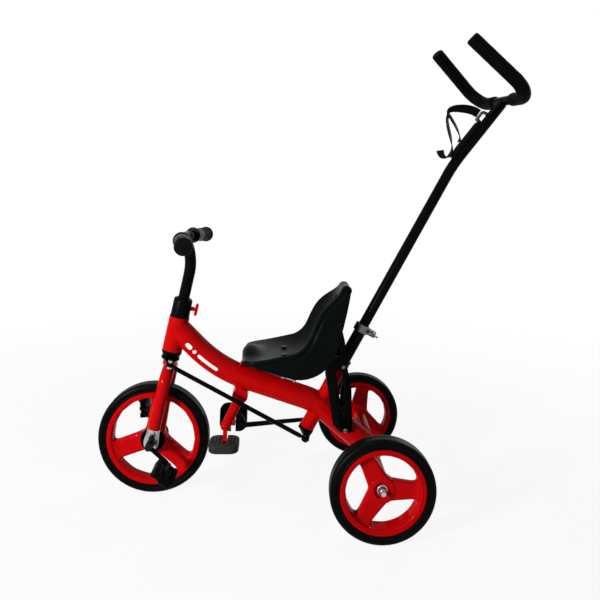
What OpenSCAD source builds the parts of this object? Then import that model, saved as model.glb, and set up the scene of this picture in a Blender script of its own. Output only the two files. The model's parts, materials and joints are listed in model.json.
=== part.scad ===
// Toddler push along trike: a three-wheeler with a pedalled front wheel, a bucket seat, and a push
// pole that turns in the frame and steers the front fork through a side rod.
// X points forward, Y to the left and Z up. All sizes are in millimetres and degrees.

/* [Wheels] */
// Outside diameter of the front tyre
front_wheel_d = 254; // [246:1:258]
// Outside diameter of the rear tyres
rear_wheel_d = 214; // [206:1:218]
// Distance between the front and rear axles
wheelbase = 498; // [490:1:512]
// Distance between the middles of the two rear tyres
track = 420; // [390:1:450]
// Width of every tyre
tyre_w = 38; // [36:1:42]
// Height of a tyre above the lip of its rim
tyre_h = 19.5; // [17:0.5:22]
// Radius of the tyre's shoulders
tyre_shoulder_r = 9; // [5:0.5:12]
// Width of a rim over its lips
rim_w = 34; // [30:1:36]
// Thickness of each rim lip
rim_lip_t = 4; // [3:0.5:6]
// Depth of the tyre seat below the lip
rim_well = 5; // [4:0.5:6]
// Height of the rim's ring from its inside to its lip
rim_ring_h = 12.5; // [10:0.5:14]
// Width of the front wheel's spokes
front_spoke_w = 42; // [34:1:46]
// Width of the rear wheels' spokes
rear_spoke_w = 33; // [28:1:38]
// Thickness of the spokes
spoke_t = 20; // [14:1:24]
// Corner radius of the windows between the spokes
window_r = 13; // [8:1:15]
// Diameter of the hubs
hub_d = 54; // [44:1:58]
// Width of the hubs
hub_w = 40; // [36:1:44]
// Diameter of the recess round each rear axle nut
hub_recess_d = 36; // [30:1:40]
// Depth of that recess
hub_recess_h = 8; // [4:1:10]
// Turn of the front and right wheels' first spoke from straight ahead
spoke_phase = 100; // [0:1:120]
// Turn of the left rear wheel's first spoke from straight ahead
left_spoke_phase = 62; // [0:1:120]

/* [Steering head] */
// Lean of the steering axis back from upright
head_lean = 12; // [9:0.5:15]
// Distance of the front axle behind the steering axis
axle_setback = 4; // [0:0.5:8]
// Diameter of the fork tube
fork_tube_d = 28; // [24:1:30]
// Space between the tyre's side and each fork leg
fork_room = 7; // [5:0.5:12]
// Space between the tyre's top and the start of the fork's bend
crown_gap = 5; // [2:1:12]
// Height of the fork legs' lower ends above the axle, along the legs
leg_low = 26; // [22:1:32]
// Thickness of the dropouts
dropout_t = 6; // [4:0.5:8]
// Diameter of the rounded end of the dropouts
dropout_d = 34; // [28:1:38]
// Diameter of the steerer tube
steerer_d = 30; // [29:0.5:31]
// Diameter of the head tube
head_tube_d = 46; // [44:1:50]
// Wall of the head tube
head_tube_wall = 4; // [3:0.5:5]
// Length of the head tube
head_tube_l = 79; // [70:1:90]
// Height of the tapered lower head bearing
lower_bearing_h = 16; // [12:1:20]
// Thickness of the upper head bearing's flange
upper_bearing_h = 2.5; // [2:0.5:4]
// Diameter of the black stem collar
collar_d = 43; // [40:1:48]
// Height of the stem collar
collar_h = 42; // [36:1:50]
// Height of the red wing of the collar's screw
wing_h = 30; // [22:1:36]

/* [Handlebar] */
// Diameter of the stem
stem_d = 25.6; // [24:0.1:26]
// Length of the stem's straight part above the collar
stem_straight = 57; // [45:1:70]
// Radius of the stem's forward curve
stem_bend_r = 125; // [100:1:160]
// Turn of the stem's forward curve
stem_bend = 40; // [25:1:45]
// Length of the stem held inside the steerer
stem_inside = 75; // [60:1:85]
// Diameter of the crossbar
bar_d = 22; // [20:0.5:24]
// Half width of the crossbar over its grips
bar_half = 175; // [160:1:190]
// Half width of the crossbar's straight middle
bar_middle = 45; // [35:1:60]
// Distance that the crossbar's ends sweep back
bar_sweep = 27; // [15:1:40]
// Length of each grip
grip_l = 98; // [85:1:110]
// Diameter of each grip
grip_d = 31; // [28:1:34]

/* [Frame tubes] */
// Diameter of the main tube
main_tube_d = 53; // [50:1:56]
// Wall of the main tube
main_wall = 2.5; // [2:0.5:4]
// Wall of the smaller tubes
tube_wall = 2; // [1.5:0.5:3]
// Height of the main tube's joint above the head tube's lower end
main_joint = 54; // [48:1:60]
// Slope of the main tube behind the head
front_drop = 45; // [40:1:50]
// Length of that sloping run
front_run = 135; // [125:1:145]
// Radius of the front bend
front_bend_r = 300; // [220:5:320]
// Slope of the main tube in front of the rear axle
rear_drop = 40; // [34:1:46]
// Length of that run
rear_run = 167; // [158:1:176]
// Radius of the rear bend
rear_bend_r = 120; // [80:5:160]
// Diameter of the rear axle beam
beam_d = 36; // [32:1:40]
// Diameter of the rear axle rod
rear_axle_d = 10; // [8:0.5:12]

/* [Push pole] */
// Lean of the pole back from upright
pole_lean = 28; // [26:0.1:30]
// Distance of the pole behind the main tube's rear bend
pole_setback = 15.5; // [12:0.5:22]
// Diameter of the red pole tube
pole_tube_d = 34; // [33:0.5:37]
// Length of the pole tube below the main tube's axis
pole_tube_below = 60; // [54:1:68]
// Length of the pole tube above the main tube's axis
pole_tube_above = 118; // [108:1:126]
// Diameter of the lower pole
lower_pole_d = 28; // [27:0.5:29]
// Diameter of the upper pole
upper_pole_d = 24; // [23:0.5:25]
// Height of the clamp along the pole
clamp_at = 205; // [190:1:225]
// Height of the clamp ring
clamp_h = 18; // [14:1:24]
// Height of the bend in the upper pole
neck_at = 637; // [615:1:650]
// Turn of that bend
neck_bend = 9.8; // [0:0.1:14]
// Length of the pole above its bend
neck_l = 190; // [180:1:205]
// Turn of the upper pole and its handle in the clamp
handle_twist = 7; // [-15:0.5:15]
// Length of the upper pole hidden in the lower pole
pole_overlap = 115; // [90:1:130]

/* [Push handle] */
// Rise of the handle's prongs above level
prong_rise = 42.7; // [35:0.1:50]
// Half width between the prongs at the crossbar
prong_half = 131; // [120:1:140]
// Half width between the prongs at their tips
prong_tip_half = 104; // [95:1:125]
// Length of the prongs from the crossbar's middle
prong_l = 172; // [160:1:182]
// Radius of the handle's corners
handle_bend_r = 45; // [36:1:55]
// Diameter of the handle tube
handle_d = 22; // [20:0.5:24]
// Diameter of the foam sleeves
foam_d = 30; // [28:0.5:33]
// Distance of the sleeves' inner ends from the middle
foam_start = 66; // [56:1:70]

/* [Seat] */
// Distance of the seat's reference point in front of the main tube's rear bend
seat_from_bend = 73; // [65:1:80]
// Height of the seat pan over the main tube's axis
seat_rise = 90; // [86:1:98]
// Length of the pan in front of the reference point
seat_front = 86; // [78:1:94]
// Length of the pan behind the reference point
seat_rear = 17; // [10:1:24]
// Radius between the pan and the back
seat_bend_r = 70; // [62:1:80]
// Lean of the seat back from upright
seat_lean = 22; // [18:0.5:26]
// Length of the back's straight part
seat_back_l = 119; // [110:1:132]
// Half width of the pan
seat_half_w = 98; // [90:1:106]
// Half width of the back near its top
seat_top_half_w = 72; // [64:1:80]
// Thickness of the seat's shell
seat_t = 3.5; // [3:0.5:5]
// Depth of the dish between the seat's rims
seat_dish = 32; // [26:1:36]
// Depth of the skirt's edge below the seat's middle line at the rear corner
seat_skirt = 40; // [34:1:46]
// Width of the seat bracket
bracket_w = 84; // [80:1:90]
// Thickness of the seat bracket
bracket_t = 3; // [2:0.5:4]
// Thickness of the seat-back plates
plate_t = 4; // [3:0.5:6]

/* [Footrest] */
// Distance of the footrest lug behind the main tube's front bend
lug_back = 55; // [48:1:62]
// Drop of the lug below the main tube's axis
lug_drop = 42; // [38:1:48]
// Diameter of the lug
lug_d = 36; // [32:1:40]
// Length of the lug across the frame
lug_w = 38; // [32:1:44]
// Diameter of the peg tubes
peg_d = 22; // [19:1:24]
// Distance of the left pad's pin in front of the lug
pad_ahead = 30; // [26:1:36]
// Distance of the right pad's pin in front of the lug
right_pad_ahead = 20; // [14:1:34]
// Distance of the pads' pins from the middle
pad_out = 56; // [52:1:62]
// Distance of the pads' pins below the lug
pad_below = 90; // [84:1:96]
// Length of the foot pads along the trike
pad_l = 66; // [58:1:72]
// Width of the foot pads across the trike
pad_w = 66; // [60:1:72]
// Thickness of the foot pads
pad_t = 20; // [16:1:22]
// Angle that the right pad is tipped up
pad_tip = 75; // [0:1:75]

/* [Pedals and steering rod] */
// Diameter of the crank axle
crank_axle_d = 12; // [10:0.5:14]
// Length of the cranks between axle and pedal
crank_r = 58; // [52:1:66]
// Turn of the left crank from straight ahead
crank_turn = 222; // [0:1:360]
// Thickness of the cranks
crank_t = 9; // [7:0.5:11]
// Diameter of the pedal spindles
spindle_d = 9; // [8:0.5:10]
// Length of the pedals
pedal_l = 70; // [60:1:80]
// Depth of the pedals over both treads
pedal_w = 50; // [48:1:60]
// Turn of the left pedal from level
pedal_turn = 41; // [0:1:90]
// Turn of the right pedal from level
right_pedal_turn = 84; // [0:1:90]
// Distance of the rod's pins from the steering axes
rod_out = 45; // [42:0.5:50]
// Diameter of the steering rod
rod_d = 10; // [8:0.5:11]
// Diameter of the rod's pins
rod_pin_d = 6; // [5:0.5:7]
// Play of the rod's rear eye round its pin
rod_play = 2.2; // [1.8:0.1:3]

/* [Fits] */
// Running clearance between pieces that turn or slide in each other
run_gap = 0.3; // [0.2:0.05:0.4]
// Clearance between pieces that are pressed or screwed together
fit_gap = 0.1; // [0.05:0.05:0.2]
// Gap between faces that pass each other
face_gap = 0.5; // [0.4:0.1:1]

/* [Hidden] */
$fn = 64;

red = "#d01018";
black = "#1c1e20";
dark = "#2b2d2f";
silver = "#b9bcc0";

// Side view points are [x, z] from the ground below the front axle
front_axle_z = front_wheel_d / 2;
rear_axle_z = rear_wheel_d / 2;
function along(angle) = [cos(angle), sin(angle)];
function unit(v) = v / norm(v);
function steer_point(s) = [0, front_axle_z] + axle_setback * along(head_lean) + s * along(head_lean + 90);

// Heights along the steering axis, from the front axle
leg_y = tyre_w / 2 + fork_room + fork_tube_d / 2;
bend_s = front_axle_z + crown_gap;
crown_s = bend_s + leg_y + fork_tube_d / 2;
arm_t = 4;
arm_s = crown_s + fit_gap;
head_s = arm_s + arm_t + face_gap + lower_bearing_h;
head_top_s = head_s + head_tube_l;
collar_s = head_top_s + upper_bearing_h + face_gap;
collar_top_s = collar_s + collar_h;
collar_lip = 4;
steerer_top_s = collar_top_s - collar_lip;
steerer_bore = stem_d + 2 * run_gap;
bearing_d = head_tube_d - 2 * head_tube_wall;

// Corners of the main tube's axis
head_joint = steer_point(head_s + main_joint);
front_bend = head_joint - front_run * along(front_drop);
rear_end = [-wheelbase, rear_axle_z];
rear_bend = rear_end + rear_run * along(rear_drop);
tail_l = 27;
tail_end = rear_end - tail_l * along(rear_drop);
main_path = [head_joint, front_bend, rear_bend, tail_end];
middle_run = unit(front_bend - rear_bend);

// The pole's axis crosses the main tube behind its rear bend
pole_foot = rear_bend - pole_setback * along(rear_drop);
function pole_point(s) = pole_foot + s * along(pole_lean + 90);
handle_at = pole_point(neck_at) + neck_l * along(pole_lean + neck_bend + 90);
prong_tilt = prong_rise - pole_lean;
bush_t = 1.2;
bush_l = 18;
bush_flange = 3;
pole_tube_bore = lower_pole_d + 2 * run_gap + 2 * bush_t;
bush_d = pole_tube_d + 2;
crank_plate_t = 5;
crank_plate_s = -pole_tube_below - bush_flange - face_gap - crank_plate_t;

// The origin lies below the middle of the overall length
prong_back = sin(prong_tilt) * sin(pole_lean) - cos(prong_tilt) * cos(pole_lean) * cos(handle_twist);
corner_back = [prong_back, sin(handle_twist) * cos(pole_lean)];
corner_reach = corner_back * [handle_bend_r, prong_half - handle_bend_r] + handle_bend_r * norm(corner_back);
rear_reach = corner_reach + foam_d / 2 - handle_at.x;
front_axle_x = (rear_reach - front_wheel_d / 2) / 2;

// Wheels across the trike
hub_inside = track / 2 - hub_w / 2;
bush_collar_t = 3;
beam_half = hub_inside - face_gap - bush_collar_t;

// Seat
seat_at = rear_bend + seat_from_bend * middle_run + [0, seat_rise];
seat_nose_r = 12;
seat_hole = [3, 34];
bracket_top = -seat_t - fit_gap;

// Footrest
lug_axis = front_bend - lug_back * middle_run;
lug_at = lug_axis - [0, lug_drop];

// Steering rod pins
rod_back = 8;
rod_eye_d = 16;
rod_eye_t = 4;
front_eye_s = arm_s - face_gap - rod_eye_t;
rear_eye_s = crank_plate_s - face_gap - rod_eye_t;
front_eye_xz = steer_point(front_eye_s + rod_eye_t / 2) - rod_back * along(head_lean);
rear_eye_xz = pole_point(rear_eye_s + rod_eye_t / 2);
rod_eyes = [[front_eye_xz.x, rod_out, front_eye_xz.y], [rear_eye_xz.x, rod_out, rear_eye_xz.y]];

// Frames of reference
module place() translate([front_axle_x, 0, 0]) children();
module at_xz(p) translate([p.x, 0, p.y]) children();
module front_axle() place() translate([0, 0, front_axle_z]) children();
module rear_axle_line() place() at_xz(rear_end) children();
module steering() place() at_xz(steer_point(0)) rotate([0, -head_lean, 0]) children();
module on_pole() place() at_xz(pole_foot) rotate([0, -pole_lean, 0]) children();
module on_upper() on_pole() rotate([0, 0, handle_twist]) children();
module on_neck() on_upper() translate([0, 0, neck_at]) rotate([0, -neck_bend, 0]) children();
module on_handle() on_neck() translate([0, 0, neck_l]) rotate([0, neck_bend - prong_tilt, 0]) children();
module on_seat() place() at_xz(seat_at) children();
module on_lug() place() at_xz(lug_at) children();

// Shared shapes
module across(d, y0, y1) translate([0, y1, 0]) rotate([90, 0, 0]) cylinder(d = d, h = y1 - y0);
module slab(y0, y1) translate([0, y1, 0]) rotate([90, 0, 0]) linear_extrude(height = y1 - y0) children();
module both_sides() {
    children();
    mirror([0, 1, 0]) children();
}
module ring(d, bore, h) {
    difference() {
        cylinder(d = d, h = h);
        translate([0, 0, -1]) cylinder(d = bore, h = h + 2);
    }
}
module reach_to(a, b, d) {
    v = b - a;
    translate(a)
        rotate([0, acos(v.z / norm(v)), atan2(v.y, v.x)])
            cylinder(d = d, h = norm(v));
}

// A round tube along a flat line of points, with its corners bent to the given radii
function heading(p, i) = atan2(p[i + 1].y - p[i].y, p[i + 1].x - p[i].x);
function wrap(a) = a > 180 ? a - 360 : a < -180 ? a + 360 : a;
function turn(p, i) = wrap(heading(p, i) - heading(p, i - 1));
function trim(p, r, i) = i == 0 || i == len(p) - 1 ? 0 : r[i - 1] * tan(abs(turn(p, i)) / 2);
// The straights run a little way into the bends, which are a hair thicker, and more so on long thin tubes
bend_lap = 1;
bend_swell = 0.05;
long_swell = 0.4;
module tube_section(d, bore) {
    difference() {
        circle(d = d);
        if (bore > 0)
            circle(d = bore);
    }
}
module bent_tube(d, p, r, bore = 0, swell = bend_swell) {
    for (i = [0 : len(p) - 2]) {
        step = unit(p[i + 1] - p[i]);
        start = p[i] + step * (trim(p, r, i) - (i > 0 ? bend_lap : 0));
        stop = p[i + 1] - step * (trim(p, r, i + 1) - (i < len(p) - 2 ? bend_lap : 0));
        translate([start.x, start.y, 0])
            rotate([0, 0, heading(p, i)])
                rotate([0, 90, 0])
                    linear_extrude(height = norm(stop - start))
                        tube_section(d, bore);
    }
    for (i = [1 : len(p) - 2]) {
        side = turn(p, i) > 0 ? 90 : -90;
        start = p[i] - along(heading(p, i - 1)) * trim(p, r, i);
        centre = start + along(heading(p, i - 1) + side) * r[i - 1];
        first = heading(p, i - 1) - side + min(turn(p, i), 0);
        translate([centre.x, centre.y, 0])
            rotate([0, 0, first])
                rotate_extrude(angle = abs(turn(p, i)))
                    translate([r[i - 1], 0])
                        tube_section(d + swell, bore > 0 ? bore - swell : 0);
    }
}

// Frame
module main_tube_form(d, bore = 0) {
    place()
        rotate([90, 0, 0])
            bent_tube(d, main_path, [front_bend_r, rear_bend_r], bore);
}
module head_form(d, above = 0) steering() translate([0, 0, head_s]) cylinder(d = d, h = head_tube_l + above);
module pole_form(d, extra = 0) {
    on_pole()
        translate([0, 0, -pole_tube_below - extra])
            cylinder(d = d, h = pole_tube_below + pole_tube_above + 2 * extra);
}
module beam_form(d, extra = 0) rear_axle_line() across(d, -beam_half - extra, beam_half + extra);

plate_bolt_d = 6;
foot_bolt = rear_end + 74 * along(rear_drop);
module main_tube() {
    color(red)
        difference() {
            main_tube_form(main_tube_d, main_tube_d - 2 * main_wall);
            head_form(head_tube_d, main_tube_d);
            pole_form(pole_tube_d);
            beam_form(beam_d);
            place() at_xz(foot_bolt) across(plate_bolt_d + 2 * fit_gap, -main_tube_d, main_tube_d);
        }
}
module tail_cap() {
    cap_t = 3;
    plug_l = 6;
    color(black)
        place()
            at_xz(tail_end)
                rotate([0, -rear_drop - 90, 0]) {
                    cylinder(d = main_tube_d - 1, h = cap_t);
                    translate([0, 0, -plug_l])
                        cylinder(d = main_tube_d - 2 * main_wall - 2 * fit_gap, h = plug_l + 1);
                }
}
module head_tube() {
    color(red)
        difference() {
            head_form(head_tube_d);
            steering() translate([0, 0, head_s - 1]) cylinder(d = bearing_d, h = head_tube_l + 2);
        }
}
boss_s = pole_tube_above - 8;
boss_d = 13;
module pole_tube() {
    color(red)
        difference() {
            union() {
                pole_form(pole_tube_d);
                on_pole() translate([0, 0, boss_s]) across(boss_d, -plate_in, plate_in);
            }
            pole_form(pole_tube_bore, 1);
            on_pole()
                translate([0, 0, boss_s])
                    across(plate_bolt_d + 2 * fit_gap, -plate_in - 1, plate_in + 1);
        }
}
module axle_beam() {
    color(red)
        difference() {
            beam_form(beam_d);
            beam_form(beam_d - 2 * tube_wall, 1);
        }
}
nut_out = track / 2 + hub_w / 2 - hub_recess_h + face_gap;
nut_h = 11;
module rear_axle() color(silver) rear_axle_line() across(rear_axle_d, -nut_out - 7, nut_out + 7);
module axle_nuts() {
    color(silver)
        rear_axle_line()
            both_sides()
                translate([0, nut_out, 0])
                    rotate([-90, 0, 0])
                        difference() {
                            union() {
                                cylinder(d = 22, h = 2);
                                cylinder(d = 17, h = nut_h - 4);
                                translate([0, 0, nut_h - 4])
                                    rotate_extrude()
                                        intersection() {
                                            circle(d = 15);
                                            square(8);
                                        }
                            }
                            translate([0, 0, -1]) cylinder(d = rear_axle_d + 2 * fit_gap, h = 8 + fit_gap);
                        }
}
// Bushes in the beam's ends, each with a collar that the wheel's hub runs against
beam_plug_l = 12;
module beam_bushes() {
    inside = rear_axle_d / 2 + fit_gap;
    plug = beam_d / 2 - tube_wall - fit_gap;
    color(black)
        rear_axle_line()
            both_sides()
                translate([0, beam_half, 0])
                    rotate([-90, 0, 0])
                        rotate_extrude()
                            polygon([
                                [inside, -beam_plug_l], [plug, -beam_plug_l],
                                [plug, bush_collar_t], [inside, bush_collar_t]
                            ]);
}

// Head bearings and pole bushes
bearing_depth = 14;
steerer_room = steerer_d + 2 * run_gap;
module lower_head_bearing() {
    low = head_s - lower_bearing_h;
    color(black)
        steering()
            rotate_extrude()
                polygon([
                    [steerer_room / 2, low], [steerer_d / 2 + 3, low], [head_tube_d / 2, head_s - 5],
                    [head_tube_d / 2, head_s], [bearing_d / 2 - fit_gap, head_s],
                    [bearing_d / 2 - fit_gap, head_s + bearing_depth],
                    [steerer_room / 2, head_s + bearing_depth]
                ]);
}
module upper_head_bearing() {
    color(black)
        steering()
            rotate_extrude()
                polygon([
                    [steerer_room / 2, head_top_s - bearing_depth],
                    [bearing_d / 2 - fit_gap, head_top_s - bearing_depth],
                    [bearing_d / 2 - fit_gap, head_top_s],
                    [head_tube_d / 2 - 1, head_top_s], [head_tube_d / 2 - 1, head_top_s + upper_bearing_h],
                    [steerer_room / 2, head_top_s + upper_bearing_h]
                ]);
}
module pole_bush() {
    inside = lower_pole_d / 2 + run_gap;
    rotate_extrude()
        polygon([
            [inside, -bush_l], [pole_tube_bore / 2 - fit_gap, -bush_l], [pole_tube_bore / 2 - fit_gap, 0],
            [bush_d / 2, 0], [bush_d / 2, bush_flange], [inside, bush_flange]
        ]);
}
module pole_bushes() {
    color(black)
        on_pole() {
            translate([0, 0, pole_tube_above]) pole_bush();
            translate([0, 0, -pole_tube_below]) mirror([0, 0, 1]) pole_bush();
        }
}

// Seat: a dished sheet with rolled rims, swept from its nose to the top of its back
seat_arc = 90 - seat_lean;
seat_top_r = 8;
seat_top_roll = 140;
seat_rows = 34;
seat_lengths = [
    seat_nose_r * PI / 2, seat_front + seat_rear, seat_bend_r * seat_arc * PI / 180, seat_back_l,
    seat_top_r * seat_top_roll * PI / 180
];
function seat_length(i) = i < 0 ? 0 : seat_lengths[i] + seat_length(i - 1);
seat_total = seat_length(4);
// Middle line of the seat as [x, z, direction of its outward face]
function seat_line(s) =
    s < seat_length(0)
        ? let (a = 90 * s / seat_length(0))
            [seat_front + seat_nose_r * cos(a), seat_nose_r * (sin(a) - 1), a]
        : s < seat_length(1) ? [seat_front - (s - seat_length(0)), 0, 90]
        : s < seat_length(2)
            ? let (a = (s - seat_length(1)) / seat_bend_r * 180 / PI)
                [-seat_rear - seat_bend_r * sin(a), seat_bend_r * (1 - cos(a)), 90 - a]
        : s < seat_length(3) ? concat(seat_back(s - seat_length(2)), seat_lean)
        : let (a = seat_lean + (s - seat_length(3)) / seat_top_r * 180 / PI,
               c = seat_back(seat_back_l) - seat_top_r * along(seat_lean))
            concat(c + seat_top_r * along(a), a);
function seat_back(l) =
    [-seat_rear - seat_bend_r * sin(seat_arc), seat_bend_r * (1 - cos(seat_arc))] + l * along(seat_lean + 90);
function ease(t) = let (u = min(max(t, 0), 1)) u * u * (3 - 2 * u);
function blend(a, b, t) = a + (b - a) * ease(t);
function share(s, i, j) = (s - seat_length(i)) / (seat_length(j) - seat_length(i));
// Half width, rise of the rims and drop of the skirt along the seat
skirt_end = 6.5;
skirt_turn = seat_length(1) + seat_bend_r * 0.6;
function end_round(s, l, k) = let (u = min(max(1 - s / l, 0), 1)) sqrt(1 - k * u * u);
function seat_width(s) =
    blend(seat_half_w, seat_top_half_w, share(s, 1, 3))
    * end_round(s, 44, 0.6)
    * end_round(seat_total - s, 80, 0.8);
function seat_depth(s) =
    s < seat_length(2)
        ? blend(1, seat_dish, share(s, -1, 2))
        : blend(seat_dish, 6, pow((s - seat_length(2)) / (seat_length(3) - seat_length(2)), 3));
function seat_drop(s) =
    s < skirt_turn
        ? blend(6.5, seat_skirt, s / skirt_turn)
        : seat_skirt + (skirt_end - seat_skirt) * min((s - skirt_turn) / (seat_length(3) - skirt_turn), 1);
// One point of the sheet: v runs from rim to rim, and past 1 down the skirt, t is the depth below its face
rim_roll = 5;
dish_power = 2.4;
function seat_section(s, v, t) =
    let (
        side = sign(v),
        u = abs(v),
        w = seat_width(s),
        d = seat_depth(s),
        k = d - rim_roll + seat_drop(s),
        roll = min(max((u - 1) / 0.5, 0), 1) * 90,
        down = max(u - 1.5, 0) * 2 * k
    )
    u <= 1
        ? [side * (w - rim_roll) * u, d * pow(u, dish_power) - t]
        : [
            side * (w - rim_roll + (rim_roll - t) * sin(roll)),
            d - rim_roll + (rim_roll - t) * cos(roll) - down
        ];
function seat_point(s, v, t) =
    let (
        line = seat_line(s),
        flat = seat_section(s, v, t),
        out = along(line[2])
    )
    [line[0] + out.x * flat[1], flat[0], line[1] + out.y * flat[1]];
seat_across = [
    for (v = [-2, -1.75, -1.5, -1.33, -1.17]) v,
    for (v = [-1 : 0.125 : 1]) v,
    for (v = [1.17, 1.33, 1.5, 1.75, 2]) v
];
function seat_face(t) = [
    for (i = [0 : seat_rows], v = seat_across)
        seat_point(i * seat_total / seat_rows, v, t)
];
function quad(a, b, c, d) = [[a, b, c], [a, c, d]];
module seat_sheet() {
    n = len(seat_across);
    under = n * (seat_rows + 1);
    faces = [
        for (i = [0 : seat_rows - 1], j = [0 : n - 2])
            let (a = i * n + j)
                each concat(
                    quad(a, a + 1, a + 1 + n, a + n),
                    quad(under + a, under + a + n, under + a + 1 + n, under + a + 1)
                ),
        for (i = [0 : seat_rows - 1])
            let (a = i * n, b = i * n + n - 1)
                each concat(
                    quad(a, a + n, under + a + n, under + a),
                    quad(b + n, b, under + b, under + b + n)
                ),
        for (j = [0 : n - 2])
            let (a = j, b = seat_rows * n + j)
                each concat(
                    quad(a + 1, a, under + a, under + a + 1),
                    quad(b, b + 1, under + b + 1, under + b)
                )
    ];
    polyhedron(points = concat(seat_face(0), seat_face(seat_t)), faces = faces);
}
seat_bolt_d = 6;
belt_slot_w = 26;
belt_slot_h = 9;
belt_slot_at = 26;
module seat() {
    slot = seat_back(seat_back_l - belt_slot_at);
    color(black)
        on_seat()
            difference() {
                seat_sheet();
                both_sides()
                    translate([seat_hole.x, seat_hole.y, -20])
                        cylinder(d = seat_bolt_d + 2 * run_gap, h = 40);
                at_xz(slot)
                    rotate([0, 90 - seat_lean, 0]) {
                        cube([belt_slot_h, belt_slot_w, 40], center = true);
                        both_sides() translate([0, belt_slot_w / 2, -20]) cylinder(d = belt_slot_h, h = 40);
                    }
            }
}

// Seat bracket: a folded strip that rises in front of the seat and runs back under its pan
bracket_points = [
    [seat_front + seat_nose_r + 6, -60], [seat_front + seat_nose_r + 6, -24],
    [seat_front - 6, -24], [seat_front - 16, bracket_top - bracket_t / 2], [-34, bracket_top - bracket_t / 2]
];
// The outline of a strip of even thickness along a line of points, with mitred corners
function strip_normal(p, i) = along(heading(p, i) + 90);
function strip_mitre(p, i) =
    let (
        a = strip_normal(p, max(i - 1, 0)),
        b = strip_normal(p, min(i, len(p) - 2))
    )
    (a + b) / (1 + a * b);
function strip_edge(p, w) = [for (i = [0 : len(p) - 1]) p[i] + w * strip_mitre(p, i)];
function backwards(p) = [for (i = [len(p) - 1 : -1 : 0]) p[i]];
module strip(p, t) polygon(concat(strip_edge(p, t / 2), backwards(strip_edge(p, -t / 2))));
module seat_bracket() {
    color(red)
        difference() {
            on_seat()
                difference() {
                    slab(-bracket_w / 2, bracket_w / 2) strip(bracket_points, bracket_t);
                    both_sides()
                        translate([seat_hole.x, seat_hole.y, -seat_rise])
                            cylinder(d = seat_bolt_d + 2 * fit_gap, h = 2 * seat_rise);
                }
            main_tube_form(main_tube_d);
        }
}
post_x = [6, -21];
module seat_posts() {
    color(silver)
        difference() {
            on_seat()
                for (x = post_x)
                    translate([x, 0, -seat_rise])
                        cylinder(d = 10, h = seat_rise + bracket_top - bracket_t);
            main_tube_form(main_tube_d);
        }
}
// Height of the pan's face over its middle line
function dish_at(x, y) =
    let (s = seat_length(0) + seat_front - x)
    seat_depth(s) * pow(y / (seat_width(s) - rim_roll), dish_power);
module seat_bolts() {
    head = dish_at(seat_hole.x, seat_hole.y) + 1.2;
    nut_top = bracket_top - bracket_t - fit_gap;
    color(silver)
        on_seat()
            both_sides()
                translate([seat_hole.x, seat_hole.y, 0]) {
                    translate([0, 0, head]) cylinder(d = 13, h = 2.5);
                    translate([0, 0, nut_top - 9]) cylinder(d = seat_bolt_d, h = head - nut_top + 10);
                    translate([0, 0, nut_top - 5]) cylinder(d = 10, h = 5, $fn = 6);
                }
}

// Seat-back plates: a pair of pressed plates from the rear of the main tube up to the seat's back
plate_in = main_tube_d / 2 + face_gap;
plate_out = plate_in + plate_t;
boss_at = pole_point(boss_s);
rest_s = 44;
spacer_d = 14;
rest_at = seat_at + seat_back(rest_s) - (seat_t + spacer_d / 2 + face_gap) * along(seat_lean);
module seat_plate_outline() {
    up = seat_lean + 90;
    difference() {
        polygon([
            rest_at + 10 * along(up) - 11 * along(seat_lean), rest_at + 12 * along(up) + 4 * along(seat_lean),
            rest_at - 26 * along(up) + 4 * along(seat_lean), boss_at + [41, 8], boss_at + [37, -34],
            foot_bolt + [29, 13], foot_bolt + [12, -4], foot_bolt + [-16, -4], foot_bolt + [-12, 96],
            boss_at + [-7, 12], boss_at + [-3, 58]
        ]);
        polygon([boss_at + [12, 52], boss_at + [6, 40], boss_at + [11, 24], boss_at + [21, 24]]);
        polygon([
            boss_at + [20, -9], boss_at + [3, -9], foot_bolt + [5, 93], foot_bolt + [9, 49],
            foot_bolt + [12, 49], foot_bolt + [17, 93]
        ]);
        for (q = [rest_at, boss_at, foot_bolt])
            translate(q) circle(d = plate_bolt_d + 2 * fit_gap);
    }
}
module seat_plates() color(black) place() both_sides() slab(plate_in, plate_out) seat_plate_outline();
module plate_spacers() {
    color(dark)
        place()
            at_xz(rest_at)
                difference() {
                    across(spacer_d, -plate_in, plate_in);
                    across(plate_bolt_d + 2 * fit_gap, -plate_in - 1, plate_in + 1);
                }
}
module bolt_head() rotate([-90, 0, 0]) cylinder(d = 11, h = 3.5);
module plate_bolts() {
    color(silver)
        place() {
            for (q = [rest_at, foot_bolt])
                at_xz(q) {
                    across(plate_bolt_d, -plate_out - 1, plate_out + 1);
                    both_sides() translate([0, plate_out, 0]) bolt_head();
                }
            at_xz(boss_at)
                both_sides() {
                    across(plate_bolt_d, pole_tube_bore / 2 + 0.5, plate_out + 1);
                    translate([0, plate_out, 0]) bolt_head();
                }
        }
}

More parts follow.
